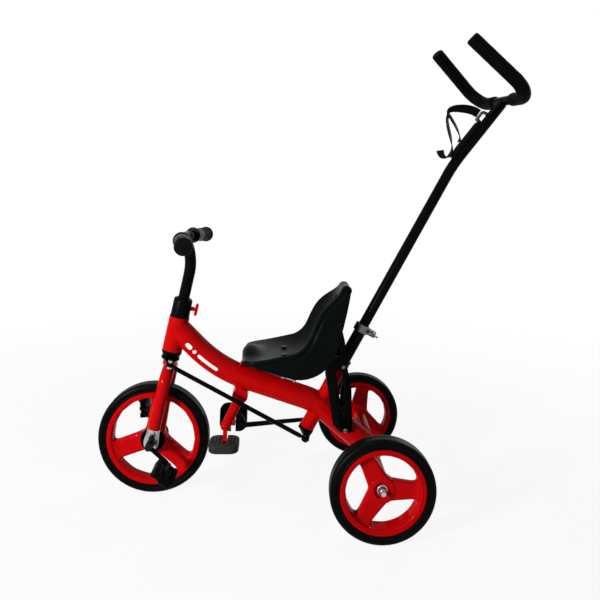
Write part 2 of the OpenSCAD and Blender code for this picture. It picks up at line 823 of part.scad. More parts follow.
// Footrest: a lug under the main tube, two peg tubes, and a pad that tips on a pin at each end
neck_d = 26;
left_pin = [pad_ahead, pad_out, -pad_below];
right_pin = [right_pad_ahead, pad_out, -pad_below];
tang_l = 33;
tang_rise = 61;
tang_t = 9;
tang_w = 15;
pin_d = 6;
pad_inner = 20;
function peg_end(pin) = pin + tang_l * [0, -cos(tang_rise), sin(tang_rise)];
module lug_form() {
    on_lug() {
        across(lug_d, -lug_w / 2, lug_w / 2);
        cylinder(d = neck_d, h = lug_drop);
    }
}
module footrest_lug() {
    color(red)
        difference() {
            lug_form();
            main_tube_form(main_tube_d);
        }
}
tang_end = [for (a = [180 : 15 : 360]) tang_w / 2 * along(a)];
tang_outline = concat(tang_end, [[tang_w / 2, tang_l], [-tang_w / 2, tang_l]]);
module peg_form(pin) {
    reach_to([0, 8, -4], peg_end(pin), peg_d);
    translate(peg_end(pin)) sphere(d = peg_d + 1);
    translate(pin)
        rotate([90 - tang_rise, 0, 0])
            rotate([90, 0, 90])
                linear_extrude(height = tang_t, center = true)
                    polygon(tang_outline);
}
module peg_tube(pin) {
    difference() {
        on_lug()
            difference() {
                peg_form(pin);
                translate(pin)
                    rotate([0, 90, 0])
                        cylinder(d = pin_d + 2 * fit_gap, h = pad_l, center = true);
            }
        lug_form();
    }
}
module left_peg_tube() color(red) peg_tube(left_pin);
module right_peg_tube() color(red) mirror([0, 1, 0]) peg_tube(right_pin);
module pad_pin() rotate([0, 90, 0]) cylinder(d = pin_d, h = pad_l - 12, center = true);
module pad_pins() {
    color(silver)
        on_lug() {
            translate(left_pin) pad_pin();
            mirror([0, 1, 0]) translate(right_pin) pad_pin();
        }
}
pad_corner = 19;
rib_t = 3;
rib_h = 1.5;
module pad_outline() {
    y0 = -pad_inner;
    for (grow = [[pad_corner, 0], [0, pad_corner]])
        translate([-pad_l / 2 + grow.x, y0 + grow.y]) square([pad_l - 2 * grow.x, pad_w - 2 * grow.y]);
    for (x = [-1, 1], y = [y0 + pad_corner, y0 + pad_w - pad_corner])
        translate([x * (pad_l / 2 - pad_corner), y]) circle(r = pad_corner);
}
module foot_pad() {
    slot_w = tang_t + 2;
    difference() {
        union() {
            translate([0, 0, -pad_t / 2]) linear_extrude(height = pad_t - rib_h) pad_outline();
            for (x = [-1, 1], k = [0 : 2])
                translate([x * (12 + 7 * k) - rib_t / 2, -pad_inner + 12, 0])
                    cube([rib_t, pad_w - 24, pad_t / 2]);
        }
        translate([-slot_w / 2, -pad_inner - 1, -pad_t]) cube([slot_w, pad_w - 14, 2 * pad_t]);
        rotate([0, 90, 0]) cylinder(d = pin_d + 2 * run_gap, h = pad_l - 12 + 2 * face_gap, center = true);
    }
}
module left_foot_pad() color(dark) on_lug() translate(left_pin) foot_pad();
module right_foot_pad() {
    color(dark)
        on_lug()
            mirror([0, 1, 0])
                translate(right_pin)
                    rotate([pad_tip, 0, 0])
                        foot_pad();
}
stay_in = pole_tube_d / 2 + fit_gap;
stay_t = 6;
stay_rear = pole_point(12 - pole_tube_below);
stay_front = lug_at + [-10, -82];
stay_tip = lug_at + [6, -56];
module footrest_stay() {
    color(black)
        difference() {
            place()
                slab(-stay_in - stay_t, -stay_in)
                    polygon([
                        stay_rear + [-4, -4], stay_rear + [-4, 4], stay_front + [-4, 6], stay_tip + [-6, 4],
                        stay_tip + [6, -4], stay_front + [4, -6]
                    ]);
            mirror([0, 1, 0]) on_lug() peg_form(right_pin);
            lug_form();
        }
}

// Fork
module fork_crown() {
    color(red)
        steering()
            difference() {
                union() {
                    translate([-axle_setback, 0, bend_s])
                        rotate([90, 0, 90])
                            rotate_extrude(angle = 180)
                                translate([leg_y, 0]) circle(d = fork_tube_d);
                    translate([0, 0, bend_s + leg_y])
                        cylinder(d = steerer_d, h = steerer_top_s - bend_s - leg_y);
                }
                translate([0, 0, crown_s + 4]) cylinder(d = steerer_bore, h = steerer_top_s);
                wing_axis() cylinder(d = wing_screw_d + 2 * run_gap, h = collar_d);
            }
}
// Each leg is a tube with a closed lower end
leg_floor = 8;
module fork_legs() {
    color(red)
        steering()
            both_sides()
                translate([-axle_setback, leg_y, leg_low])
                    difference() {
                        cylinder(d = fork_tube_d, h = bend_s - leg_low);
                        translate([0, 0, leg_floor]) cylinder(d = fork_tube_d - 2 * tube_wall, h = bend_s);
                    }
}
module dropouts() {
    neck = 24;
    color(silver)
        steering()
            both_sides()
                translate([-axle_setback, 0, 0])
                    slab(leg_y - dropout_t / 2, leg_y + dropout_t / 2)
                        difference() {
                            union() {
                                circle(d = dropout_d);
                                translate([-neck / 2, 0]) square([neck, leg_low]);
                            }
                            circle(d = crank_axle_d + 2 * run_gap);
                        }
}
module rod_arm() {
    color(black)
        steering()
            translate([0, 0, arm_s])
                linear_extrude(height = arm_t)
                    difference() {
                        union() {
                            circle(d = steerer_d + 12);
                            polygon([
                                [-17, 8], [12, 18], [-rod_back + 8, rod_out + 2], [-rod_back - 8, rod_out - 2]
                            ]);
                            translate([-rod_back, rod_out]) circle(d = rod_eye_d);
                        }
                        circle(d = steerer_d + 2 * fit_gap);
                        translate([-rod_back, rod_out]) circle(d = rod_pin_d + 2 * fit_gap);
                    }
}
module front_rod_pin() {
    low = front_eye_s - face_gap;
    color(silver)
        steering()
            translate([-rod_back, rod_out, 0]) {
                translate([0, 0, low - 4]) cylinder(d = rod_pin_d, h = arm_s + arm_t + 8 - low);
                translate([0, 0, low - 4]) cylinder(d = 11, h = 4);
                translate([0, 0, arm_s + arm_t + fit_gap]) cylinder(d = 11, h = 5, $fn = 6);
            }
}
module wing_axis() translate([0, 0, collar_s + 21]) rotate([0, -90, 0]) children();
wing_screw_d = 6;
wing_out = collar_d / 2 + 9;
module stem_collar() {
    color(black)
        steering()
            difference() {
                translate([0, 0, collar_s])
                    rotate_extrude()
                        polygon([
                            [0, 0], [collar_d / 2, 0], [collar_d / 2, collar_h - 5],
                            [collar_d / 2 - 4, collar_h], [0, collar_h]
                        ]);
                translate([0, 0, collar_s - 1])
                    cylinder(d = steerer_d + 2 * fit_gap, h = steerer_top_s - collar_s + 1 + fit_gap);
                translate([0, 0, collar_s]) cylinder(d = steerer_bore, h = collar_h + 1);
                wing_axis() cylinder(d = wing_screw_d + 2 * run_gap, h = collar_d);
            }
}
module wing_screw() {
    wing_t = 6;
    color(red)
        steering()
            wing_axis() {
                translate([0, 0, stem_d / 2 + face_gap])
                    cylinder(d = wing_screw_d, h = wing_out - stem_d / 2);
                translate([0, 0, collar_d / 2 + face_gap]) cylinder(d = 10, h = wing_out - collar_d / 2);
                translate([-wing_h / 2 + 5, -wing_t / 2, wing_out - 1]) cube([wing_h - 10, wing_t, 9]);
                for (x = [-1, 1])
                    translate([x * (wing_h / 2 - 5), 0, wing_out + 3.5]) across(10, -wing_t / 2, wing_t / 2);
            }
}

// Handlebar
stem_low_s = steerer_top_s - stem_inside;
stem_turn_s = collar_top_s + stem_straight;
stem_rise = stem_bend_r * tan(stem_bend / 2);
stem_corner = [0, stem_turn_s + stem_rise];
stem_top = stem_corner + stem_rise * [sin(stem_bend), cos(stem_bend)];
stem_end = stem_top - 4 * [sin(stem_bend), cos(stem_bend)];
bar_angle = atan2(bar_sweep, bar_half - bar_middle);
bar_bend_r = 60;
bar_path = [[-bar_sweep, -bar_half], [0, -bar_middle], [0, bar_middle], [-bar_sweep, bar_half]];
grip_bore = bar_d + 2 * fit_gap;
grip_flange_d = grip_d + 7;
module at_bar() steering() translate([stem_top.x, 0, stem_top.y]) children();
stem_path = [[0, stem_low_s], stem_corner, stem_end];
module handlebar() {
    color(black)
        difference() {
            union() {
                at_bar() bent_tube(bar_d, bar_path, [bar_bend_r, bar_bend_r], bar_d - 2 * tube_wall, long_swell);
                steering() rotate([90, 0, 0]) bent_tube(stem_d, stem_path, [stem_bend_r], 0, long_swell);
            }
            steering()
                translate([0, 0, stem_low_s - 1])
                    cylinder(d = stem_d - 2 * tube_wall, h = stem_turn_s - stem_low_s);
        }
}
module grip() {
    cap = 4;
    at_bar()
        translate([-bar_sweep, bar_half, 0])
            rotate([0, 0, bar_angle])
                rotate([90, 0, 0])
                    difference() {
                        union() {
                            translate([0, 0, -cap]) cylinder(d = grip_flange_d, h = cap + 2);
                            cylinder(d = grip_d, h = grip_l);
                            translate([0, 0, grip_l - 5]) cylinder(d = grip_flange_d, h = 5);
                        }
                        translate([0, 0, -fit_gap]) cylinder(d = grip_bore, h = grip_l + 1);
                    }
}
module left_grip() color(dark) grip();
module right_grip() color(dark) mirror([0, 1, 0]) grip();

// Wheels, each about the Y axis
module tyre(wheel_d) {
    lip = wheel_d / 2 - tyre_h;
    top = wheel_d / 2;
    half = tyre_w / 2;
    r = tyre_shoulder_r;
    base = rim_w / 2 - rim_lip_t - fit_gap;
    rotate([90, 0, 0])
        rotate_extrude($fn = 96) {
            translate([lip - rim_well + fit_gap, -base]) square([rim_well + 1, 2 * base]);
            translate([lip + fit_gap, -half]) square([top - lip - fit_gap - r, 2 * half]);
            translate([top - r - 1, r - half]) square([r + 1, 2 * (half - r)]);
            for (y = [-1, 1])
                translate([top - r, y * (half - r)]) circle(r = r);
        }
}
window_inner = 48;
window_inner_r = 16;
window_edge = 0.5;
module wheel_window(inside, spoke_w) {
    reach = inside - window_r - window_edge;
    swing = 60 - asin((spoke_w / 2 + window_r) / reach);
    linear_extrude(height = 2 * rim_w, center = true)
        hull() {
            translate([window_inner, 0]) circle(r = window_inner_r, $fn = 32);
            for (k = [-2 : 2])
                rotate(k * swing / 2) translate([reach, 0]) circle(r = window_r, $fn = 32);
        }
}
module rim(wheel_d, spoke_w, phase, bore, recess) {
    lip = wheel_d / 2 - tyre_h;
    inside = lip - rim_ring_h;
    half = rim_w / 2;
    well = lip - rim_well;
    rotate([90, 0, 0])
        difference() {
            union() {
                rotate_extrude($fn = 96)
                    polygon([
                        [inside, -half], [lip, -half], [lip, rim_lip_t - half], [well, rim_lip_t - half],
                        [well, half - rim_lip_t], [lip, half - rim_lip_t], [lip, half], [inside, half]
                    ]);
                cylinder(r = (inside + well) / 2, h = spoke_t, center = true);
                cylinder(d = hub_d, h = hub_w, center = true);
            }
            for (a = [60 : 120 : 300])
                rotate(phase + a) wheel_window(inside, spoke_w);
            cylinder(d = bore, h = 2 * hub_w, center = true);
            translate([0, 0, hub_w / 2 - recess]) cylinder(d = hub_recess_d, h = recess + 1);
        }
}
rear_bore = rear_axle_d + 2 * run_gap;
module front_tyre() color(black) front_axle() tyre(front_wheel_d);
module front_rim() {
    color(red)
        front_axle()
            rim(front_wheel_d, front_spoke_w, spoke_phase, crank_axle_d + 2 * fit_gap, 0);
}
module at_left() rear_axle_line() translate([0, track / 2, 0]) children();
module at_right() rear_axle_line() translate([0, -track / 2, 0]) children();
module left_tyre() color(black) at_left() tyre(rear_wheel_d);
module left_rim() {
    color(red)
        at_left()
            mirror([0, 1, 0])
                rim(rear_wheel_d, rear_spoke_w, left_spoke_phase, rear_bore, hub_recess_h);
}
module right_tyre() color(black) at_right() tyre(rear_wheel_d);
module right_rim() {
    color(red)
        at_right()
            rim(rear_wheel_d, rear_spoke_w, spoke_phase, rear_bore, hub_recess_h);
}

// Crank axle, cranks and pedals
crank_pass = 1.5;
crank_y = leg_y + fork_tube_d / 2 + crank_pass;
crank_boss_y = leg_y + dropout_t / 2 + face_gap;
crank_out = crank_y + crank_t;
cap_d = 57;
cap_t = 3.5;
module front_hub_caps() {
    color(black)
        front_axle()
            both_sides()
                translate([0, hub_w / 2 + fit_gap, 0])
                    rotate([-90, 0, 0])
                        ring(cap_d, crank_axle_d + 2 * fit_gap, cap_t);
}
module crank_axle() {
    color(silver)
        front_axle() {
            across(crank_axle_d, -crank_out, crank_out);
            both_sides()
                translate([0, crank_out, 0])
                    rotate([-90, 0, 0])
                        cylinder(d = crank_axle_d + 5, h = 4, $fn = 6);
        }
}
pedal_y = crank_out + 4;
module crank() {
    rotate([0, -crank_turn, 0]) {
        difference() {
            union() {
                across(22, crank_boss_y, crank_out);
                translate([0, crank_y, -7]) cube([crank_r, crank_t, 14]);
                translate([crank_r, 0, 0]) across(20, crank_y, crank_out);
            }
            across(crank_axle_d + 2 * fit_gap, crank_boss_y - 1, crank_out + 1);
        }
        translate([crank_r, 0, 0]) across(spindle_d, crank_out - 1, pedal_y + pedal_l + 2);
    }
}
module left_crank() color(dark) front_axle() crank();
module right_crank() color(dark) front_axle() rotate([0, 180, 0]) mirror([0, 1, 0]) crank();
tread_w = 11;
tread_h = 22;
module pedal() {
    barrel = 18;
    difference() {
        union() {
            across(barrel, 0, pedal_l);
            for (x = [-1, 1])
                translate([x * (pedal_w - tread_w) / 2 - tread_w / 2, 4, -tread_h / 2])
                    cube([tread_w, pedal_l - 8, tread_h]);
            for (y = [0, pedal_l - 9])
                translate([-pedal_w / 2, y, -8]) cube([pedal_w, 9, 16]);
        }
        across(spindle_d + 2 * run_gap, -1, pedal_l + 1);
    }
}
function crank_end(side) = side * crank_r * along(crank_turn);
module left_pedal() {
    color(black)
        front_axle()
            at_xz(crank_end(1))
                translate([0, pedal_y, 0])
                    rotate([0, -pedal_turn, 0])
                        pedal();
}
module right_pedal() {
    color(black)
        front_axle()
            at_xz(crank_end(-1))
                translate([0, -pedal_y - pedal_l, 0])
                    rotate([0, -right_pedal_turn, 0])
                        pedal();
}

// Steering rod: a round bar between two flattened eyes, each square to its own pin
front_eye_bore = rod_pin_d + 2 * run_gap;
rear_eye_bore = rod_pin_d + 2 * rod_play;
module at_front_eye() translate(rod_eyes[0]) rotate([0, -head_lean, 0]) children();
module at_rear_eye() translate(rod_eyes[1]) rotate([0, -pole_lean, 0]) children();
module steering_rod() {
    color(black)
        place()
            difference() {
                union() {
                    reach_to(rod_eyes[0], rod_eyes[1], rod_d);
                    at_front_eye() cylinder(d = rod_eye_d, h = rod_eye_t, center = true);
                    at_rear_eye() cylinder(d = rear_eye_bore + 9, h = rod_eye_t, center = true);
                }
                at_front_eye() rod_clear(front_eye_bore);
                at_rear_eye() rod_clear(rear_eye_bore);
            }
}
// The pin's bore, with the bar cut away above and below the eye
module rod_clear(bore) {
    cylinder(d = bore, h = 4 * rod_d, center = true);
    for (z = [-1, 1])
        translate([0, 0, z * (rod_eye_t / 2 + rod_d)])
            cylinder(d = rod_eye_d + 10, h = 2 * rod_d, center = true);
}

// Push pole
lower_wall = (lower_pole_d - upper_pole_d) / 2 - run_gap;
clamp_low = clamp_at - clamp_h / 2;
lower_pole_top = clamp_at + clamp_h / 2 - 2;
module lower_pole() {
    color(black)
        on_pole()
            difference() {
                translate([0, 0, crank_plate_s + crank_plate_t])
                    cylinder(d = lower_pole_d, h = lower_pole_top - crank_plate_s - crank_plate_t);
                translate([0, 0, crank_plate_s + crank_plate_t + 6])
                    cylinder(d = lower_pole_d - 2 * lower_wall, h = lower_pole_top - crank_plate_s);
            }
}
module crank_plate() {
    low = rear_eye_s - face_gap;
    color(black)
        on_pole() {
            translate([0, 0, crank_plate_s])
                linear_extrude(height = crank_plate_t) {
                    circle(d = lower_pole_d + 8);
                    polygon([[-17, 2], [15, 10], [7, rod_out], [-7, rod_out]]);
                    translate([0, rod_out]) circle(d = rod_eye_d);
                }
            translate([0, rod_out, low - 4]) cylinder(d = rod_pin_d, h = crank_plate_s - low + 5);
            translate([0, rod_out, low - 4]) cylinder(d = 14, h = 4);
        }
}
ear_x = 28;
ear_w = 9;
clamp_bore = lower_pole_d + 2 * fit_gap;
clamp_split = 3;
clamp_bolt_d = 5;
module pole_clamp() {
    color(silver)
        on_pole()
            translate([0, 0, clamp_low]) {
                difference() {
                    union() {
                        cylinder(d = lower_pole_d + 8, h = clamp_h);
                        translate([-ear_x - 6, -ear_w, 2]) cube([ear_x, 2 * ear_w, clamp_h - 4]);
                    }
                    translate([0, 0, -1]) cylinder(d = clamp_bore, h = clamp_h + 2);
                    translate([-2 * ear_x, -clamp_split / 2, -1]) cube([2 * ear_x, clamp_split, clamp_h + 2]);
                }
                translate([-ear_x, 0, clamp_h / 2]) {
                    across(clamp_bolt_d, -ear_w - 1, ear_w + 8);
                    translate([0, -ear_w, 0]) rotate([90, 0, 0]) cylinder(d = 10, h = 4);
                }
            }
}
module clamp_wing() {
    wing = 24;
    color(silver)
        on_pole()
            translate([-ear_x, ear_w + face_gap, clamp_at])
                rotate([-90, 0, 0])
                    difference() {
                        union() {
                            cylinder(d = 12, h = 8);
                            for (x = [-1, 1])
                                translate([x * (wing / 2 - 4), 0, 8]) across(11, -2, 2);
                            translate([-wing / 2 + 4, -2, 3]) cube([wing - 8, 4, 6]);
                        }
                        translate([0, 0, -1]) cylinder(d = clamp_bolt_d + 2 * run_gap, h = 12);
                    }
}
pole_low = clamp_at - pole_overlap;
neck_r = 300;
saddle_h = 3;
neck_end = neck_l - handle_d / 2 + saddle_h;
upper_path = [[0, pole_low], [0, neck_at], [0, neck_at] + neck_end * along(neck_bend + 90)];
module upper_pole() {
    color(black)
        difference() {
            on_upper()
                rotate([90, 0, 0])
                    bent_tube(upper_pole_d, upper_path, [neck_r], upper_pole_d - 2 * tube_wall, long_swell);
            handle_form(handle_d);
        }
}
handle_path = [[prong_l, -prong_tip_half], [0, -prong_half], [0, prong_half], [prong_l, prong_tip_half]];
tip_turn = atan2(prong_tip_half - prong_half, prong_l);
module handle_form(d, bore = 0) on_handle() bent_tube(d, handle_path, [handle_bend_r, handle_bend_r], bore);
module push_handle() color(black) handle_form(handle_d, handle_d - 2 * tube_wall);
// Each sleeve starts beside the pole, goes round its corner and closes over its prong's tip
foam_cap = 4;
foam_tip = [prong_l, prong_tip_half] + fit_gap * along(tip_turn);
foam_path = [[0, foam_start], [0, prong_half], foam_tip + bend_lap * along(tip_turn)];
module foam_sleeve() {
    bent_tube(foam_d, foam_path, [handle_bend_r], handle_d + 2 * fit_gap);
    translate([foam_tip.x, foam_tip.y, 0])
        rotate([0, 90, tip_turn])
            cylinder(d = foam_d + bend_swell, h = foam_cap);
}
module foam_sleeves() color(dark) on_handle() both_sides() foam_sleeve();

// Wrist strap on the front of the neck, as [distance forward, height above the bend, roll of the webbing]
ring_w = 16;
ring_outside = [[10, 112], [25, 116], [25, 140], [10, 144]];
ring_inside = [[0, 115], [22.5, 119], [22.5, 137], [0, 141]];
strap_w = 20;
strap_t = 2.4;
pad_front = 20;
pad_span = [30, 106];
module neck_core() translate([0, 0, -neck_l]) cylinder(d = upper_pole_d + 2 * fit_gap, h = 3 * neck_l);
module strap_ring() {
    color(silver)
        on_neck()
            difference() {
                slab(-ring_w / 2, ring_w / 2) polygon(ring_outside);
                slab(-ring_w, ring_w) polygon(ring_inside);
                neck_core();
            }
}
module strap_pad() {
    color(dark)
        on_neck()
            difference() {
                translate([0, -strap_w / 2, pad_span[0]])
                    cube([pad_front, strap_w, pad_span[1] - pad_span[0]]);
                neck_core();
            }
}
strap_route = [
    [29, 129, 70], [40, 127, 65], [54, 121, 55], [68, 112, 45], [79, 103, 35], [85, 96, 30], [88, 90, 25],
    [87, 85, 25], [82, 82, 25], [72, 79, 25], [54, 73, 20], [38, 66, 10], [28, 59, 5], [23, 50, 0]
];
tail_route = [
    [84, 82, 25], [78, 71, 25], [67, 61, 25], [55, 52, 20], [44, 44, 15], [34, 36, 10], [26, 28, 5],
    [22, 19, 0], [21, 10, 0], [24, 3, 0], [31, 0, 0], [39, 2, 0], [46, 7, 0]
];
function route_xz(r, i) = [r[i].x, r[i].y];
function route_along(r, i) = unit(route_xz(r, min(i + 1, len(r) - 1)) - route_xz(r, max(i - 1, 0)));
// The four corners of the webbing at one point of its route
function webbing(r, i) =
    let (
        d = route_along(r, i),
        side = [-d.y, 0, d.x],
        wide = cos(r[i].z) * [0, 1, 0] + sin(r[i].z) * side,
        thick = cos(r[i].z) * side - sin(r[i].z) * [0, 1, 0],
        p = [r[i].x, 0, r[i].y]
    )
    [
        for (k = [[-1, -1], [-1, 1], [1, 1], [1, -1]])
            p + k[0] * thick * strap_t / 2 + k[1] * wide * strap_w / 2
    ];
module webbing_strip(r) {
    n = len(r);
    last = 4 * (n - 1);
    sides = [
        for (i = [0 : n - 2], k = [0 : 3])
            let (a = 4 * i + k, b = 4 * i + (k + 1) % 4)
                each [[a, a + 4, b], [b, a + 4, b + 4]]
    ];
    ends = [[0, 1, 2], [0, 2, 3], [last, last + 2, last + 1], [last, last + 3, last + 2]];
    polyhedron(points = [for (i = [0 : n - 1]) each webbing(r, i)], faces = concat(sides, ends));
}
module strap() color(black) on_neck() webbing_strip(strap_route);
module strap_tail() color(black) on_neck() webbing_strip(tail_route);

main_tube();
tail_cap();
head_tube();
pole_tube();
axle_beam();
rear_axle();
axle_nuts();
beam_bushes();
upper_head_bearing();
lower_head_bearing();
pole_bushes();
seat_bracket();
seat_posts();
seat();
seat_bolts();
seat_plates();
plate_spacers();
plate_bolts();
footrest_lug();
left_peg_tube();
right_peg_tube();
footrest_stay();
pad_pins();
left_foot_pad();
right_foot_pad();
fork_crown();
fork_legs();
dropouts();
rod_arm();
front_rod_pin();
stem_collar();
wing_screw();
handlebar();
left_grip();
right_grip();
front_tyre();
front_rim();
front_hub_caps();
crank_axle();
left_crank();
right_crank();
left_pedal();
right_pedal();
left_tyre();
left_rim();
right_tyre();
right_rim();
steering_rod();
lower_pole();
crank_plate();
pole_clamp();
clamp_wing();
upper_pole();
push_handle();
foam_sleeves();
strap_ring();
strap_pad();
strap();
strap_tail();
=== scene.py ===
"""Looks of a toddler push-along trike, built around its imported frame.

Lengths are millimetres of the row frame, unless said otherwise, and become metres when a piece is made.
"""
import json
import logging
import math
from dataclasses import dataclass, field
from enum import Enum
from functools import lru_cache
from typing import Callable, Sequence

import bmesh
import bpy
from bmesh.types import BMEdge, BMesh, BMVert
from mathutils import Matrix, Vector
from mathutils.bvhtree import BVHTree


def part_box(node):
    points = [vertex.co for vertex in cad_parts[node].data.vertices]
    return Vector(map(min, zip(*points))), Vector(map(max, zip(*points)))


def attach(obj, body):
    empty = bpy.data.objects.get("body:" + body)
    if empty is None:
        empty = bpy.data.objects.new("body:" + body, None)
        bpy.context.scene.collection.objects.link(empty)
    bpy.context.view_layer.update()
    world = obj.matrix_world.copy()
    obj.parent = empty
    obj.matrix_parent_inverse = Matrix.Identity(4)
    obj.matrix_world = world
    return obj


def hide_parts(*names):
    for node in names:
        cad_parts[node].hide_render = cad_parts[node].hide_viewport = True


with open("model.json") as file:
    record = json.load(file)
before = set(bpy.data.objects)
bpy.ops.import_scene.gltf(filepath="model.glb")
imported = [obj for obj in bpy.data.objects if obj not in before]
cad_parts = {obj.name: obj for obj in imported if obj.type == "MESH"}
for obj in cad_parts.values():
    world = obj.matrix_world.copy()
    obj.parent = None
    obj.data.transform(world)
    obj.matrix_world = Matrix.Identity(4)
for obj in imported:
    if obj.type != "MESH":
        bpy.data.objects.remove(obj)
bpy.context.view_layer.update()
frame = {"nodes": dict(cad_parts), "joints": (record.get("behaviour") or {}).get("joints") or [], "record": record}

LOG = logging.getLogger("trike")
MM = 0.001
SIDES = (1, -1)
Profile = Sequence[tuple[float, float]]
Triple = tuple[float, float, float]

WARP_SCALE, THREAD_WAVER = 14.0, 0.6
MOULDED_DETAIL, PLAIN_DETAIL = 4.0, 1.5
PLATING_STRETCH = (1.0, 6.0, 1.0)
MOTTLE = {"Scale": 22.0, "Detail": 3.0}
COAT_ROUGHNESS, SMOOTHEST = 0.08, 0.02
GRAIN_DEPTH, EDGE_SAMPLES = 0.4, 6
MIX_FACTOR, MIX_A, MIX_B, MIX_RESULT = 0, 6, 7, 2
MERGE_DISTANCE, CAD_MERGE = 0.001, 0.004
FLAT_WITHIN, EDGE_OVER = 0.6, 38.0


def set_inputs(node: bpy.types.Node, values: dict[str, float | Sequence[float]]) -> bpy.types.Node:
    """Sets inputs of a shader node.

    Args:
        node: The node.
        values: New value of each input, by its name.

    Returns:
        The same node.
    """
    for name, value in values.items():
        node.inputs[name].default_value = value
    return node


def combine(tree: bpy.types.NodeTree, operation: str, one: bpy.types.NodeSocket,
            two: bpy.types.NodeSocket) -> bpy.types.NodeSocket:
    """Works out one value from two with a math node.

    Args:
        tree: The nodes and links to add to.
        operation: What the node does.
        one: The first value.
        two: The second value.

    Returns:
        The socket that carries the result.
    """
    both = tree.nodes.new("ShaderNodeMath")
    both.operation = operation
    tree.links.new(one, both.inputs[0])
    tree.links.new(two, both.inputs[1])
    return both.outputs["Value"]


class Grain(Enum):
    """How the surface of a finish is broken up."""

    PEEL = "peel"
    MOULDED = "moulded"
    CELLS = "cells"
    PLATED = "plated"
    WOVEN = "woven"


@dataclass(frozen=True)
class Finish:
    """One surface finish, made as a procedural material."""

    name: str
    slot: str
    colour: Triple
    roughness: float
    grain: Grain
    grain_scale: float
    bump: float
    metallic: float = 0.0
    coat: float = 0.0
    sheen: float = 0.0
    specular: float = 0.5
    spread: float = 0.08
    tint: float = 0.12
    soft_edge: float = 0.0

    def _grain_height(self, tree: bpy.types.NodeTree, place: bpy.types.NodeSocket) -> bpy.types.NodeSocket:
        """Adds the texture whose height breaks up the surface.

        Args:
            tree: The material's nodes and links.
            place: The socket with the texture's coordinates.

        Returns:
            The socket that carries the height.
        """
        if self.grain is Grain.CELLS:
            texture = set_inputs(tree.nodes.new("ShaderNodeTexVoronoi"), {"Scale": self.grain_scale})
            tree.links.new(place, texture.inputs["Vector"])
            return texture.outputs["Distance"]
        if self.grain is Grain.WOVEN:
            threads = []
            for direction, scale in (("X", WARP_SCALE), ("Y", self.grain_scale)):
                wave = set_inputs(tree.nodes.new("ShaderNodeTexWave"),
                                  {"Scale": scale, "Distortion": THREAD_WAVER})
                wave.bands_direction = direction
                tree.links.new(place, wave.inputs["Vector"])
                threads.append(wave.outputs["Fac"])
            return combine(tree, "MULTIPLY", *threads)
        detail = MOULDED_DETAIL if self.grain is Grain.MOULDED else PLAIN_DETAIL
        texture = set_inputs(tree.nodes.new("ShaderNodeTexNoise"),
                             {"Scale": self.grain_scale, "Detail": detail})
        if self.grain is Grain.PLATED:
            stretch = set_inputs(tree.nodes.new("ShaderNodeMapping"), {"Scale": PLATING_STRETCH})
            tree.links.new(place, stretch.inputs["Vector"])
            place = stretch.outputs["Vector"]
        tree.links.new(place, texture.inputs["Vector"])
        return texture.outputs["Fac"]

    def build(self) -> bpy.types.Material:
        """Makes the material.

        Returns:
            A material with uneven colour and roughness and a raised grain.
        """
        material = bpy.data.materials.new(self.name)
        material.use_nodes = True
        tree = material.node_tree
        nodes, links = tree.nodes, tree.links
        shader = set_inputs(nodes["Principled BSDF"], {
            "Metallic": self.metallic, "Coat Weight": self.coat, "Coat Roughness": COAT_ROUGHNESS,
            "Sheen Weight": self.sheen, "Specular IOR Level": self.specular})
        place = nodes.new("ShaderNodeTexCoord")
        mottle = set_inputs(nodes.new("ShaderNodeTexNoise"), MOTTLE)
        links.new(place.outputs["Object"], mottle.inputs["Vector"])
        colour = nodes.new("ShaderNodeMix")
        colour.data_type = "RGBA"
        low, high = 1.0 - self.tint, 1.0 + self.tint
        colour.inputs[MIX_A].default_value = (*(c * low for c in self.colour), 1.0)
        colour.inputs[MIX_B].default_value = (*(min(c * high, 1.0) for c in self.colour), 1.0)
        links.new(mottle.outputs["Fac"], colour.inputs[MIX_FACTOR])
        links.new(colour.outputs[MIX_RESULT], shader.inputs["Base Color"])
        rough = set_inputs(nodes.new("ShaderNodeMapRange"), {
            "To Min": max(self.roughness - self.spread, SMOOTHEST),
            "To Max": min(self.roughness + self.spread, 1.0)})
        links.new(mottle.outputs["Fac"], rough.inputs["Value"])
        links.new(rough.outputs["Result"], shader.inputs["Roughness"])
        bump = set_inputs(nodes.new("ShaderNodeBump"),
                          {"Strength": self.bump, "Distance": GRAIN_DEPTH * MM})
        grain_place = place.outputs["UV" if self.grain is Grain.WOVEN else "Object"]
        links.new(self._grain_height(tree, grain_place), bump.inputs["Height"])
        if self.soft_edge > 0.0:
            edge = set_inputs(nodes.new("ShaderNodeBevel"), {"Radius": self.soft_edge * MM})
            edge.samples = EDGE_SAMPLES
            links.new(edge.outputs["Normal"], bump.inputs["Normal"])
        links.new(bump.outputs["Normal"], shader.inputs["Normal"])
        return material


@lru_cache(maxsize=None)
def material_of(finish: Finish) -> bpy.types.Material:
    """The one material of a finish."""
    return finish.build()


RED_PAINT = Finish("red_enamel", "red_paint", (0.43, 0.001, 0.0015), 0.2, Grain.PEEL, 260.0, 0.04,
                   coat=0.05, specular=0.01, tint=0.06, soft_edge=0.8)
RED_PLASTIC = Finish("red_moulded", "red_plastic", (0.44, 0.001, 0.002), 0.26, Grain.MOULDED, 700.0, 0.04,
                     coat=0.04, specular=0.01, tint=0.05)
BLACK_PAINT = Finish("black_powder_coat", "black_paint", (0.001, 0.0016, 0.0016), 0.24, Grain.PEEL, 520.0,
                     0.08, coat=0.04, specular=0.01, soft_edge=0.7)
BLACK_PLASTIC = Finish("black_moulded", "black_plastic", (0.0013, 0.002, 0.002), 0.34, Grain.MOULDED,
                       1500.0, 0.12, specular=0.02, soft_edge=0.6)
SEAT_PLASTIC = Finish("seat_moulded", "black_plastic", (0.0012, 0.0021, 0.0021), 0.36, Grain.MOULDED,
                      1900.0, 0.2, specular=0.035)
